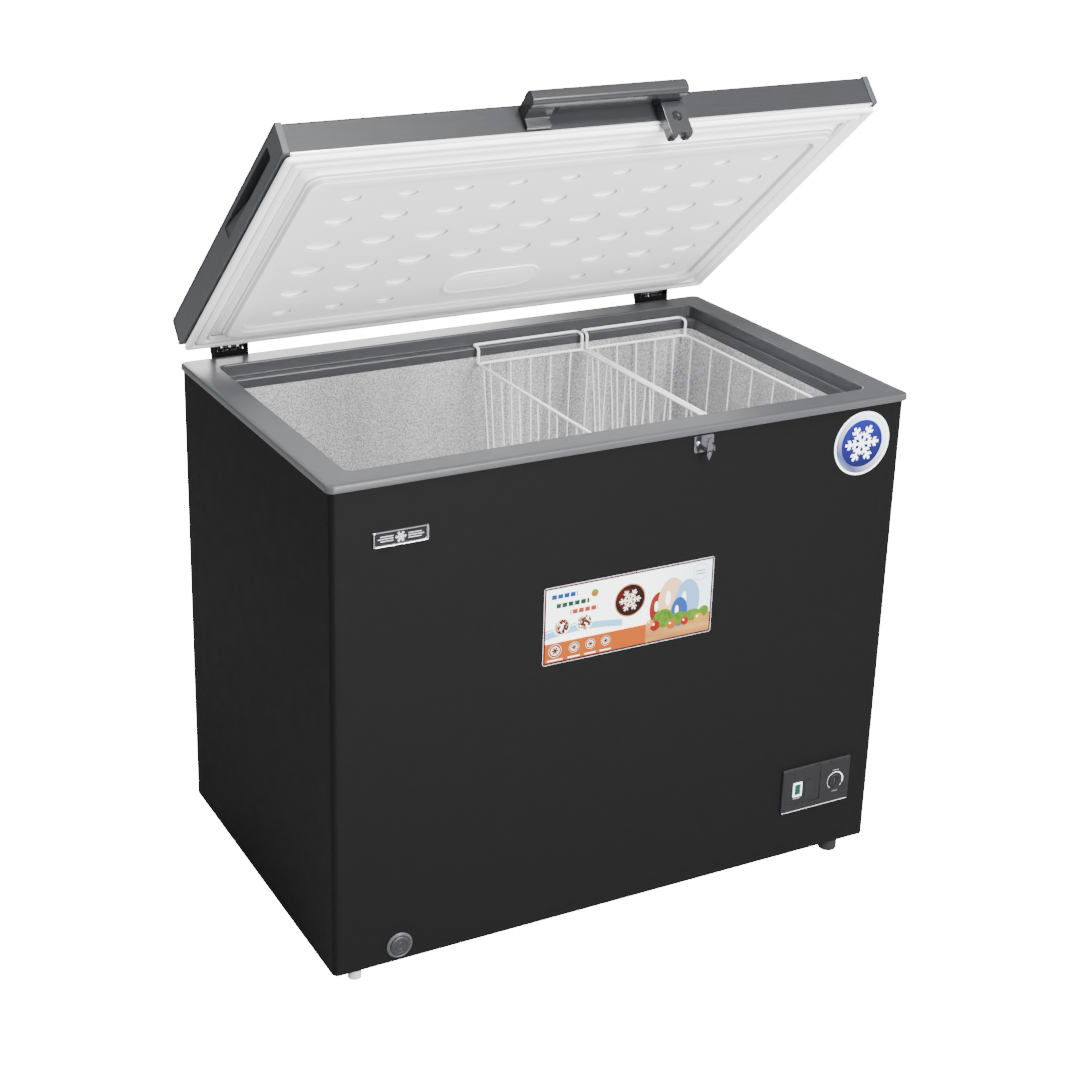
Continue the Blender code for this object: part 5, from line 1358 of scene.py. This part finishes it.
    def seal(self) -> None:
        """Ribbed seal round the moulding, with dark grey rings that paint the shade in its grooves."""
        low, high = LAYOUT.closed_box("lid_gasket")
        x, y = high.x, high.y
        profile = [(0.0022, high.z), (0.0004, high.z - 0.0020), (0, low.z + 0.0030), (0.0015, low.z + 0.0008),
                   (0.0040, low.z + 0.0002), (0.0085, low.z + 0.0004), (0.0110, low.z + 0.0020),
                   (0.0130, low.z + 0.0040), (0.0152, low.z + 0.0040), (0.0170, low.z + 0.0016),
                   (0.0195, low.z), (0.0250, low.z), (0.0272, low.z + 0.0014), (0.0290, low.z + 0.0034),
                   (0.0312, low.z + 0.0034), (0.0328, low.z + 0.0020), (0.0340, low.z + 0.0040),
                   (0.0335, high.z)]
        loops = [[(a, b, z) for a, b in rounded(x - inset, y - inset, 0.006, 3)] for inset, z in profile]
        piece("seal", Shape().loft(loops, ring=True), Palette.gasket, Body.LID, ["lid_gasket"],
              50)
        # Painted shade: thin dark grey rings laid in the seal's grooves.
        lines = Shape()
        for inset, deep in ((0.0141, 0.0037), (0.0301, 0.0031), (0.0360, 0.0060)):
            rows = [(inset - 0.0006, low.z + deep), (inset + 0.0006, low.z + deep),
                    (inset + 0.0006, low.z + deep + 0.0008), (inset - 0.0006, low.z + deep + 0.0008)]
            lines.loft([[(a, b, z) for a, b in rounded(x - far, y - far, 0.006, 3)] for far, z in rows],
                       ring=True)
        piece("seal_groove_shade", lines, Palette.groove, Body.LID)

    def blank(self) -> None:
        """Oblong pad with a raised outline and a sunk middle."""
        low, high = LAYOUT.closed_box("lamp_blank")
        x, y = (low.x + high.x) / 2, (low.y + high.y) / 2
        hx, hy = (high.x - low.x) / 2, (high.y - low.y) / 2
        rows = [(0, high.z), (0.0002, low.z + 0.0010), (0.0012, low.z), (0.0060, low.z),
                (0.0072, low.z + 0.0009), (0.0085, low.z + 0.0010), (0.0100, low.z + 0.0002),
                (0.0120, low.z)]
        loops = [[(a, b, z) for a, b in rounded(hx - inset, hy - inset, hy - inset - 0.0002, 10, (x, y))]
                 for inset, z in rows]
        piece("oblong_blank", Shape().loft(loops), Palette.white, Body.LID, ["lamp_blank"], 40)

    def cap(self, side: str, sign: int) -> None:
        """End cap with a bead at the front and a deep side grip with a sloping leaf."""
        low, high = LAYOUT.closed_box(f"end_cap_{side}")
        edge = sign * self.half_x
        inner = sign * (self.half_x - self.cap_width)
        front, length, rise, height = self.grip
        low_y, low_z = -self.half_y + front, self.bottom + rise
        high_y, high_z = low_y + length, low_z + height
        outline = [(low.y, low.z + 0.001), (low.y, high.z), (high.y, high.z), (high.y, low.z + 0.006),
                   (high.y - 0.010, low.z + 0.001)]
        skew = 0.004
        mouth = [(low_y + 0.001, low_z + 0.001), (high_y - skew, low_z), (high_y, high_z),
                 (low_y + 0.001, high_z - 0.001)]
        shape = Shape().prism(bent_flat(outline, 0.0025, 4), *sorted((inner, edge - sign * 0.0012)))
        shape.bevel(0.0010, 2, 60)
        cup_out = edge - sign * 0.004
        cup_in = edge - sign * 0.0285
        wall = 0.0025
        cup = Shape().block((min(cup_out, cup_in), low_y - wall, low_z - wall),
                            (max(cup_out, cup_in), high_y + wall, high_z + wall))
        rim_line = Shape().prism(bent_flat(outline, 0.0025, 4), *sorted((edge - sign * 0.002, edge)))
        field = [(low.y + 0.0085, low.z + 0.0060), (low.y + 0.0085, high.z - 0.0015),
                 (high.y - 0.0030, high.z - 0.0015), (high.y - 0.0030, low.z + 0.0090),
                 (high.y - 0.0120, low.z + 0.0060)]
        sunk = Shape().prism(bent_flat(field, 0.002, 3), *sorted((edge - sign * 0.0009, edge + sign * 0.01)))
        pocket = Shape().prism(bent_flat(mouth, 0.004, 4), *sorted((edge + sign * 0.01, edge - sign * 0.026)))
        shape.joined(cup, rim_line).carved(sunk, pocket)
        piece(f"cap_{side}", shape, Palette.cap, Body.LID, [f"end_cap_{side}"], 35)
        leaf = [(-0.222, low_z + 0.0006), (high_y - skew - 0.0006, low_z + 0.0006),
                (high_y - 0.0006, high_z - 0.0006), (-0.046, high_z - 0.0006)]
        depths = (0.0150, 0.0020, 0.0020, 0.0150)
        top_rows = [(edge - sign * d, *p) for p, d in zip(leaf, depths)]
        low_rows = [(edge - sign * (d + 0.002), *p) for p, d in zip(leaf, depths)]
        piece(f"grip_leaf_{side}", Shape().loft([top_rows, low_rows]), Palette.cap, Body.LID, smooth=30)


@dataclass
class Handle:
    """Grab bar with its leg, and the lock housing with cylinder and keeper."""

    foot: float = 0.0385
    arch: float = 0.020
    plate: float = 0.0030
    tongue_gap: float = 0.0105

    def build(self) -> None:
        """Makes every piece."""
        self.bar()
        self.housing()
        self.lock()
        self.keeper()

    def bar(self) -> None:
        """Bar with a D section, slanted left leg with an arch, and right block."""
        low, high = LAYOUT.closed_box("handle")
        face = -LAYOUT.half_y - 0.0003
        front, top = low.y, high.z
        bar_low = top - 0.024
        back = front + 0.024
        section = [(back, bar_low + 0.0035), (back, top - 0.0030), (back - 0.0020, top - 0.0008),
                   (front + 0.0125, top), *arc((front + 0.0105, top - 0.0105), 0.0105, 80, 180, 7),
                   *arc((front + 0.0085, bar_low + 0.0085), 0.0085, 180, 270, 6), (back - 0.0050, bar_low)]
        shape = Shape().prism(section, low.x + 0.0002, high.x).bevel(0.0016, 3, 60)
        leg = [(face, low.z + 0.001), (face, top - 0.0045), (back - 0.004, top - 0.0020),
               (front + 0.012, top - 0.0012), (front + 0.0012, top - 0.0120),
               (front + 0.0045, bar_low + 0.0030), (face - 0.0085, low.z + 0.0160),
               (face - 0.0085, low.z + 0.001)]
        width = self.foot + self.arch + 0.002
        side = Shape().prism(bent_flat(leg, 0.0015, 3), low.x, low.x + width).bevel(0.0008, 2, 60)
        hollow_x = low.x + self.foot
        spring = bar_low + 0.0100
        hollow = [(hollow_x, low.z - 0.01), (hollow_x, spring - self.arch),
                  *arc((hollow_x + self.arch, spring - self.arch), self.arch, 180, 90, 8)[1:],
                  (hollow_x + 0.1, spring), (hollow_x + 0.1, low.z - 0.01)]
        cutter = Shape().prism(hollow, front - 0.01, face + 0.02, Axis.Y)
        side.carved(cutter)
        groove = Shape().block((low.x + self.plate, face - 0.02, low.z + 0.0085),
                               (hollow_x + 0.01, face - 0.0078, low.z + 0.0095))
        side.carved(groove)
        lock_low, lock_high = LAYOUT.closed_box("lock_housing")
        block = [(face, bar_low + 0.002), (face, top - 0.0040), (back - 0.004, top - 0.0014),
                 (front + 0.0130, top - 0.0030), (front + 0.0130, bar_low + 0.002)]
        right = Shape().prism(block, lock_low.x, lock_high.x - 0.0003).bevel(0.0006, 2, 60)
        piece("grab_bar", shape, Palette.handle, Body.LID, ["handle"], 32)
        piece("grab_leg", side, Palette.handle, Body.LID, smooth=32)
        piece("lock_block", right, Palette.handle, Body.LID, smooth=32)

    def housing(self) -> None:
        """Lock housing with a chamfered skirt and two claws."""
        low, high = LAYOUT.closed_box("lock_housing")
        middle = (low.x + high.x) / 2
        hang = -LAYOUT.half_y - 0.0025
        face = -LAYOUT.half_y - 0.0003
        claw = 0.0110
        section = [(low.y, low.z + 0.0045), (low.y, high.z), (face, high.z), (face, LAYOUT.rim_top + 0.012),
                   (hang, LAYOUT.rim_top + 0.009), (hang, low.z + 0.0005), (low.y + 0.0045, low.z)]
        shape = Shape().prism(section, low.x, high.x).bevel(0.0009, 2, 50)
        gap = 0.0052
        notch = [(middle - gap - 0.0050, low.z - 0.01), (middle - gap - 0.0028, low.z + 0.0005),
                 (middle - gap, low.z + 0.0048), (middle + gap, low.z + 0.0048),
                 (middle + gap + 0.0028, low.z + 0.0005), (middle + gap + 0.0050, low.z - 0.01)]
        cutters = [Shape().prism(notch, low.y - 0.01, hang + 0.01, Axis.Y)]
        for side, corner in ((-1, low.x), (1, high.x)):
            outline = [(corner + side * 0.01, low.z - 0.01), (corner - side * 0.0026, low.z - 0.01),
                       (corner - side * 0.0026, low.z), (corner, low.z + 0.0045),
                       (corner + side * 0.01, low.z + 0.0045)]
            cutters.append(Shape().prism(outline, low.y - 0.01, hang + 0.01, Axis.Y))
        hook_y = -LAYOUT.half_y - self.tongue_gap
        cutters.append(Shape().block((low.x + 0.0012, hook_y - 0.0020, low.z - 0.01),
                                     (middle + 0.0060, hook_y + 0.0020, low.z + 0.037)))
        cutters.append(Shape().block((middle - 0.0052, hook_y - 0.0060, low.z - 0.01),
                                     (middle + 0.0052, hang + 0.004, low.z + claw + 0.002)))
        axis_z = joint_point("lock_key_turn").z
        cutters.append(Shape().turned([(0, -0.010), (0.0065, -0.010), (0.0065, 0.0105), (0, 0.0105)],
                                      (middle, low.y, axis_z), Axis.Y, 40))
        shape.carved(*cutters)
        piece("lock_box", shape, Palette.handle, Body.LID, ["lock_housing"], 32)
        ring = [(0.0065, 0.0004), (0.0074, -0.0003), (0.0082, 0.0), (0.0082, 0.0006), (0.0065, 0.0006),
                (0.0065, 0.0004)]
        piece("lock_ring", Shape().turned(ring, (middle, low.y, axis_z), Axis.Y, 40), Palette.keyhole,
              Body.LID)

    def lock(self) -> None:
        """Cylinder face with its key slot, and a small chrome disc on it that paints a glint."""
        low, high = LAYOUT.closed_box("lock_cylinder")
        x, z = Face.of(low, high).centre
        r = 0.0060
        depth = high.y - low.y
        profile = [(0, 0.0004), (0.0035, 0.0004), (0.0042, 0), (r - 0.0006, 0), (r, 0.0006), (r, depth),
                   (0, depth)]
        shape = Shape().turned(profile, (x, low.y, z), Axis.Y, 40)
        slot = Shape().block((x - 0.0006, low.y - 0.002, z - 0.0030), (x + 0.0006, low.y + 0.004, z + 0.0030))
        piece("key_cylinder", shape.carved(slot), Palette.dark, Body.LOCK, ["lock_cylinder"], 35)
        # Painted highlight: a small chrome disc off the centre of the cylinder face stands for its glint.
        glint = [(0, -0.0002), (0.0014, 0), (0.0014, 0.0006), (0, 0.0006)]
        piece("key_glint", Shape().turned(glint, (x + 0.0022, low.y + 0.0002, z + 0.0010), Axis.Y, 16),
              Palette.chrome, Body.LOCK)

    def keeper(self) -> None:
        """Bright striker: pressed plate, screw, a curled ear and the pointed tongue."""
        low, high = LAYOUT.closed_box("keeper_plate")
        plate_face, back = Face.of(low, high), high.y
        x, half = plate_face.x, plate_face.wide
        bottom = high.z - 0.027
        outline = rounded(half, 0.0135, 0.003, 5, (x, bottom + 0.0135))
        plate = Shape().prism(outline, back - 0.0015, back, Axis.Y).bevel(0.0004, 2, 60)
        tongue_y = -LAYOUT.half_y - self.tongue_gap
        blade = [(x - 0.004, high.z - 0.0002), (x - 0.004, high.z - 0.0011), (x - 0.0010, high.z - 0.0013),
                 (x - 0.0010, high.z - 0.0064), (x - 0.004, high.z - 0.0066), (x - 0.004, bottom),
                 (x, low.z + 0.0001), (x + 0.004, bottom), (x + 0.004, high.z - 0.0002)]
        tongue = Shape().prism(blade, tongue_y - 0.001, tongue_y + 0.001, Axis.Y).bevel(0.0003, 1, 60)
        neck = Shape().block((x - 0.004, tongue_y, bottom + 0.0040),
                             (x + 0.004, back - 0.0008, bottom + 0.0070))
        nose = Shape().block((x - 0.003, low.y, bottom + 0.0040),
                             (x + 0.003, tongue_y, bottom + 0.0064)).bevel(0.0008, 2, 60)
        ear_x = x + 0.0125
        ear_path = [(ear_x, back - 0.0010, bottom + 0.0020), (ear_x, back - 0.0105, bottom + 0.0032),
                    (ear_x, back - 0.0105, bottom + 0.0126), (ear_x, back - 0.0010, bottom + 0.0138)]
        ear = Shape().tube(bent(ear_path, 0.003, 5), 0.0014, 10)
        shape = plate.joined(tongue, neck, nose, ear)
        piece("striker", shape, Palette.steel, Body.CABINET, ["keeper_plate"], 35)
        head = [(0, -0.0019), (0.0018, -0.0016), (0.0033, -0.0006), (0.0036, 0), (0, 0)]
        screw_x, screw_z = x - 0.0105, bottom + 0.0150
        shape = Shape().turned(head, (screw_x, back - 0.0018, screw_z), Axis.Y, 28)
        for angle in (0.5, 0.5 + math.pi / 2):
            arm = Shape().block((-0.0019, -0.002, -0.0004), (0.0019, 0.0006, 0.0004))
            place = Matrix.Translation((screw_x, back - 0.0036, screw_z))
            shape.carved(arm.shifted(place @ Matrix.Rotation(angle, 4, "Y")))
        piece("striker_screw", shape, Palette.chrome, Body.CABINET)


def joint_point(name: str) -> Vector:
    """A lid joint's place in closed lid coordinates."""
    return LAYOUT.lid.inverted() @ Vector(joint(name)["pos_m"])


@dataclass
class FrontFittings:
    """Badge, control panel with dial and lamp, and the drain."""

    def build(self) -> None:
        """Makes every piece."""
        self.badge()
        self.panel()
        self.dial()
        self.drain()

    def badge(self) -> None:
        """Bright frame round a dark field."""
        low, high = LAYOUT.closed_box("badge_plate")
        plate, back = Face.of(low, high), high.y
        rows = [(0, back), (0, back - 0.0014), (0.0010, low.y), (0.0020, low.y), (0.0034, back - 0.0012),
                (0.0036, back)]
        piece("badge_frame", Shape().loft(plate.rings(rows, 0.0022, 5), ring=True), Palette.chrome,
              Body.CABINET, ["badge_plate"], 50)
        outline = rounded(plate.wide - 0.0033, plate.tall - 0.0033, 0.001, 3, plate.centre)
        finish = BadgeFinish("badge_field", (0.004, 0.004, 0.0045), 0.40, gloss=0.1, centre=plate.centre)
        piece("badge_field", Shape().prism(outline, back - 0.0012, back, Axis.Y), finish, Body.CABINET)

    def panel(self) -> None:
        """Bezel with a ribbed top edge, a sunk switch field and a bright strip along its lower edge as a
        painted highlight.
        """
        low, high = LAYOUT.closed_box("control_panel")
        bezel = Face.of(low, high)
        x, z, hx, hz = bezel.x, bezel.z, bezel.wide, bezel.tall
        face, back = low.y, -LAYOUT.half_y + 0.0055 - 0.0003
        shape = Shape().loft(bezel.rings([(0, back), (0, face + 0.0012), (0.0012, face)], 0.0040, 5))
        dial = Face.of(*LAYOUT.closed_box("thermostat_dial")).centre
        lamp_low, lamp_high = LAYOUT.closed_box("lamp_frame")
        cutters = [Shape().block((x - hx + 0.0135, face - 0.01, z - hz + 0.0125),
                                 (x + 0.0085, face + 0.0012, z + hz - 0.0075)),
                   Shape().block((lamp_low.x - 0.0003, face - 0.01, lamp_low.z - 0.0003),
                                 (lamp_high.x + 0.0003, back + 0.01, lamp_high.z + 0.0003)),
                   Shape().turned([(0, -0.01), (0.0120, -0.01), (0.0120, 0.02), (0, 0.02)],
                                  (dial[0], face, dial[1]), Axis.Y, 40)]
        for rib in range(40):
            start = x - hx + 0.006 + rib * 0.0031
            cutters.append(Shape().block((start, face - 0.01, z + hz - 0.0042),
                                         (start + 0.0014, face + 0.0006, z + hz - 0.0012)))
        shape.carved(*cutters)
        finish = PanelFinish("panel_grey", (0.0075, 0.0075, 0.0085), 0.45, gloss=0.15, centre=bezel.centre,
                             dial=dial, scale=1500, depth=0.00003, worn=0.25)
        piece("panel_bezel", shape, finish, Body.CABINET, ["control_panel"], 30)
        # Painted highlight: a bright strip along the bezel's lower edge.
        highlight_strip = Shape().block((x - hx + 0.002, face - 0.0001, z - hz + 0.0006),
                              (x + hx - 0.002, face + 0.0010, z - hz + 0.0018))
        piece("panel_edge_highlight", highlight_strip, Palette.painted_highlight, Body.CABINET)
        blank_low, blank_high = LAYOUT.closed_box("switch_blank")
        face += 0.0012
        shape = Shape().block((blank_low.x - 0.002, face - 0.0008, blank_low.z),
                              (blank_low.x + 0.0150, face + 0.0004, blank_high.z - 0.006))
        shape.bevel(0.0004, 2, 60)
        piece("switch_cover", shape, Palette.dark, Body.CABINET, ["switch_blank"], 30)
        rows = [(0, lamp_high.y), (0, lamp_low.y + 0.0004), (0.0004, lamp_low.y), (0.0026, lamp_low.y),
                (0.0030, lamp_low.y + 0.0008), (0.0030, lamp_high.y)]
        loops = Face.of(lamp_low, lamp_high).rings(rows, 0.0008, 3)
        piece("lamp_surround", Shape().loft(loops, ring=True), Palette.white, Body.CABINET, ["lamp_frame"],
              35)

    def dial(self) -> None:
        """Flush dial with a coin slot."""
        low, high = LAYOUT.closed_box("thermostat_dial")
        knob = Face.of(low, high)
        x, z, r = knob.x, knob.z, knob.wide
        depth = high.y - low.y
        profile = [(0, 0.0003), (r - 0.0030, 0.0003), (r - 0.0022, 0), (r - 0.0008, 0), (r, 0.0008),
                   (r, 0.0075), (0.003, 0.0076), (0.003, depth), (0, depth)]
        shape = Shape().turned(profile, (x, low.y, z), Axis.Y, 56)
        slot = Shape().block((x - 0.0010, low.y - 0.002, z - 0.0072),
                             (x + 0.0010, low.y + 0.0022, z + 0.0072))
        finish = DialFinish("dial_dark", (0.0060, 0.0060, 0.0070), 0.42, gloss=0.15, centre=knob.centre,
                            worn=0.2)
        piece("dial", shape.carved(slot), finish, Body.DIAL, ["thermostat_dial"], 35)

    def drain(self) -> None:
        """Collar and pull-out cap with rings."""
        low, high = LAYOUT.closed_box("drain_collar")
        collar = Face.of(low, high)
        x, z, r, back = collar.x, collar.z, collar.wide, high.y
        cap_low, cap_high = LAYOUT.closed_box("drain_cap")
        seat = Face.of(cap_low, cap_high).wide + 0.0006
        bore = 0.0089
        profile = [(bore, 0), (r, 0), (r, -0.0014), (r - 0.0012, -0.0022),
                   (seat + 0.0012, -0.0040),
                   (seat, -0.0034), (seat, -0.0012), (bore, -0.0012), (bore, 0)]
        piece("drain_flange", Shape().turned(profile, (x, back, z), Axis.Y, 56), Palette.collar,
              Body.CABINET, ["drain_collar"], 35)
        front = cap_low.y
        seat_r = seat - 0.0006
        rim = -front + (back - 0.0025) - 0.0005
        profile = [(0, 0.0008), (0.0050, 0.0008), (0.0056, 0.0002), (0.0066, 0.0002), (0.0072, 0.0009),
                   (0.0105, 0.0009), (0.0112, 0.0001), (0.0148, 0.0001), (seat_r, 0.0012), (seat_r, rim),
                   (0.0058, rim), (0.0058, cap_high.y - front), (0, cap_high.y - front)]
        piece("drain_pull_cap", Shape().turned(profile, (x, front, z), Axis.Y, 56), Palette.drain, Body.CAP,
              ["drain_cap"], 35)


@dataclass
class Hinges:
    """Finer springs for the two hinges."""

    wire: float = 0.0009
    turns: int = 13

    def build(self) -> None:
        """Makes every piece."""
        for side in ("left", "right"):
            low, high = LAYOUT.closed_box(f"hinge_spring_{side}")
            y, z = (low.y + high.y) / 2, (low.z + high.z) / 2
            radius = (high.z - low.z) / 2 - self.wire - 0.0001
            start, end = low.x + self.wire + 0.0012, high.x - self.wire - 0.0012
            count = self.turns * 16
            path = [(start + (end - start) * i / count, y + radius * math.cos(math.tau * i / 16),
                     z + radius * math.sin(math.tau * i / 16)) for i in range(count + 1)]
            piece(f"coil_spring_{side}", Shape().tube(path, self.wire, 6), Palette.chrome, Body.CABINET,
                  [f"hinge_spring_{side}"], 60, weighted=False)
            self.works(side, low.x, high.x)

    def works(self, side: str, left: float, right: float) -> None:
        """Balance springs between the cheeks, under the lid leaf's sweep, with straps and a back plate."""
        bottom = LAYOUT.rim_top
        wall = LAYOUT.half_y + 0.0185
        springs = Shape()
        for lift in (0.0032, 0.0092):
            count = 18 * 12
            start, end = left - 0.001, right + 0.001
            springs.tube([(start + (end - start) * i / count,
                           wall - 0.0045 + 0.0024 * math.cos(math.tau * i / 12),
                           bottom + lift + 0.0024 * math.sin(math.tau * i / 12))
                          for i in range(count + 1)], 0.0006, 5)
        for share in (0.2, 0.5, 0.8):
            x = left + (right - left) * share
            springs.block((x - 0.0016, wall - 0.0085, bottom - 0.001),
                          (x + 0.0016, wall - 0.0078, bottom + 0.0118))
        piece(f"balance_springs_{side}", springs, Palette.chrome, Body.CABINET, weighted=False)
        plate = Shape().block((left - 0.002, wall, bottom - 0.006),
                              (right + 0.002, wall + 0.0010, bottom + 0.0122))
        piece(f"hinge_back_{side}", plate, Palette.dark, Body.CABINET)


def dress_frame() -> None:
    """Gives every CAD node that still shows its finish."""
    front = {"front_label": LabelFinish("label_print", (0.94, 0.94, 0.95), 0.45,
                                        centre=place_of("front_label"), drift=0.02, dusty=0.0,
                                        gloss=0.1, depth=0.00001),
             "round_sticker": StickerFinish("sticker_print", (0.86, 0.86, 0.87), 0.25,
                                            centre=place_of("round_sticker"), drift=0.02, dusty=0.0,
                                            gloss=0.2, depth=0.00001)}
    by_slot = {"black_paint": Palette.black, "zinc": Palette.zinc, "chrome": Palette.chrome,
               "copper": Palette.copper, "foam": Palette.foam, "dark_plastic": Palette.dark,
               "rubber": Palette.rubber, "white_liner": Palette.white,
               "compressor_black": Palette.compressor, "green_lens": Palette.lamp,
               "light_grey_plastic": Palette.foot, "rim_grey": Palette.rim,
               "label_film": Palette.white, "brushed_grey": Palette.lid,
               "embossed_aluminium": Palette.aluminium, "gasket_white": Palette.gasket,
               "white_coated_wire": Palette.wire}
    slots = {s["node"]: s.get("material_slot", s["node"]) for s in frame["record"]["subparts"]}
    for name, obj in frame["nodes"].items():
        finish = front.get(name) or by_slot[slots[name]]
        obj.data.materials.clear()
        obj.data.materials.append(finish.material())


# ---------------------------------------------------------------- stage


# Strength of the floor and the sky as the camera sees them, so that both show as plain white.
BACKDROP = 17.0


@dataclass
class Studio:
    """Pale floor, soft lights and the camera."""

    lens: float = 66.5
    place: Spot = (-1.4583, -2.6149, 1.7875)
    turn: Spot = (69.63, -0.77, -26.32)
    shift: Point = (0.08, -0.08)
    lights: list = field(default_factory=lambda: [
        ("key", (1.0, -3.4, 2.7), (0.0, 0.0, 0.7), 1.2, 300),
        ("low", (0.2, -3.4, 0.3), (0.0, 0.0, 1.1), 0.9, 200),
        ("top", (0.1, -1.3, 3.4), (0.0, 0.3, 0.6), 0.8, 130),
        ("right", (3.2, -0.4, 2.0), (0.0, 0.0, 0.8), 1.4, 40),
        ("left", (-3.2, -0.6, 1.6), (0.0, 0.0, 0.8), 1.4, 50),
        ("back", (0.9, 3.4, 2.0), (0.0, 0.0, 0.6), 1.6, 80),
    ])

    def build(self) -> None:
        """Makes the stage."""
        self._floor()
        self._lamps()
        self._sky()
        self._camera()

    def _floor(self) -> None:
        """Broad slab that looks white to the camera and pale grey to everything else."""
        floor = Shape().block((-60, -60, -0.02), (60, 60, -0.0005))
        data = bpy.data.meshes.new("floor")
        floor.bm.to_mesh(data)
        finish = Finish("floor", (0.42, 0.42, 0.43), 0.8, drift=0.02, dusty=0.0, scale=200).material()
        graph = Graph(finish.node_tree)
        shader = finish.node_tree.nodes["Principled BSDF"]
        shader.inputs["Emission Color"].default_value = (1.0, 1.0, 1.0, 1.0)
        seen = graph.add("LightPath", output="Is Camera Ray") * BACKDROP
        finish.node_tree.links.new(seen.socket, shader.inputs["Emission Strength"])
        data.materials.append(finish)
        obj = bpy.data.objects.new("floor", data)
        bpy.context.scene.collection.objects.link(obj)

    def _lamps(self) -> None:
        """Square area lamps, each turned to its target."""
        for name, place, target, size, power in self.lights:
            lamp = bpy.data.lights.new(name, "AREA")
            lamp.size, lamp.energy = size, power
            light = bpy.data.objects.new(name, lamp)
            bpy.context.scene.collection.objects.link(light)
            light.location = place
            light.rotation_euler = (Vector(target) - Vector(place)).to_track_quat("-Z", "Y").to_euler()

    def _sky(self) -> None:
        """Soft light from all round, brighter from the front and the left."""
        world = bpy.data.worlds.new("studio")
        world.use_nodes = True
        back = world.node_tree.nodes["Background"]
        graph = Graph(world.node_tree)
        seen = graph.add("LightPath", output="Is Camera Ray")
        ways = graph.add("TexCoord", output="Generated")
        across, along, up = (graph.add("SeparateXYZ", {"Vector": ways}, output=i) for i in range(3))
        soft = across * -0.25 - along * 0.20 + up * 0.10 + 0.70
        strength = graph.add("Mix", {"Factor": seen, 2: soft, 3: BACKDROP})
        back.inputs["Color"].default_value = (1.0, 1.0, 1.0, 1.0)
        world.node_tree.links.new(strength.socket, back.inputs["Strength"])
        bpy.context.scene.world = world

    def _camera(self) -> None:
        """Fixed camera in front of the freezer, to the left of its middle."""
        camera = bpy.data.objects.new("camera", bpy.data.cameras.new("camera"))
        bpy.context.scene.collection.objects.link(camera)
        camera.data.lens = self.lens
        camera.data.sensor_width = 36
        camera.data.shift_x, camera.data.shift_y = self.shift
        camera.location = (self.place[0], self.place[1] + LAYOUT.shift, self.place[2])
        camera.rotation_euler = [math.radians(a) for a in self.turn]
        camera.data.clip_end = 50
        bpy.context.scene.camera = camera


def main() -> None:
    """Builds the freezer."""
    logging.basicConfig(level=logging.INFO)
    dress_frame()
    assemblies = [Cabinet(), Basket("left", Body.BASKET_LEFT), Basket("right", Body.BASKET_RIGHT), Lid(),
                  Handle(), FrontFittings(), Hinges()]
    for assembly in assemblies:
        LOG.info("building %s", type(assembly).__name__)
        assembly.build()
    Studio().build()


if __name__ == "__main__":
    main()
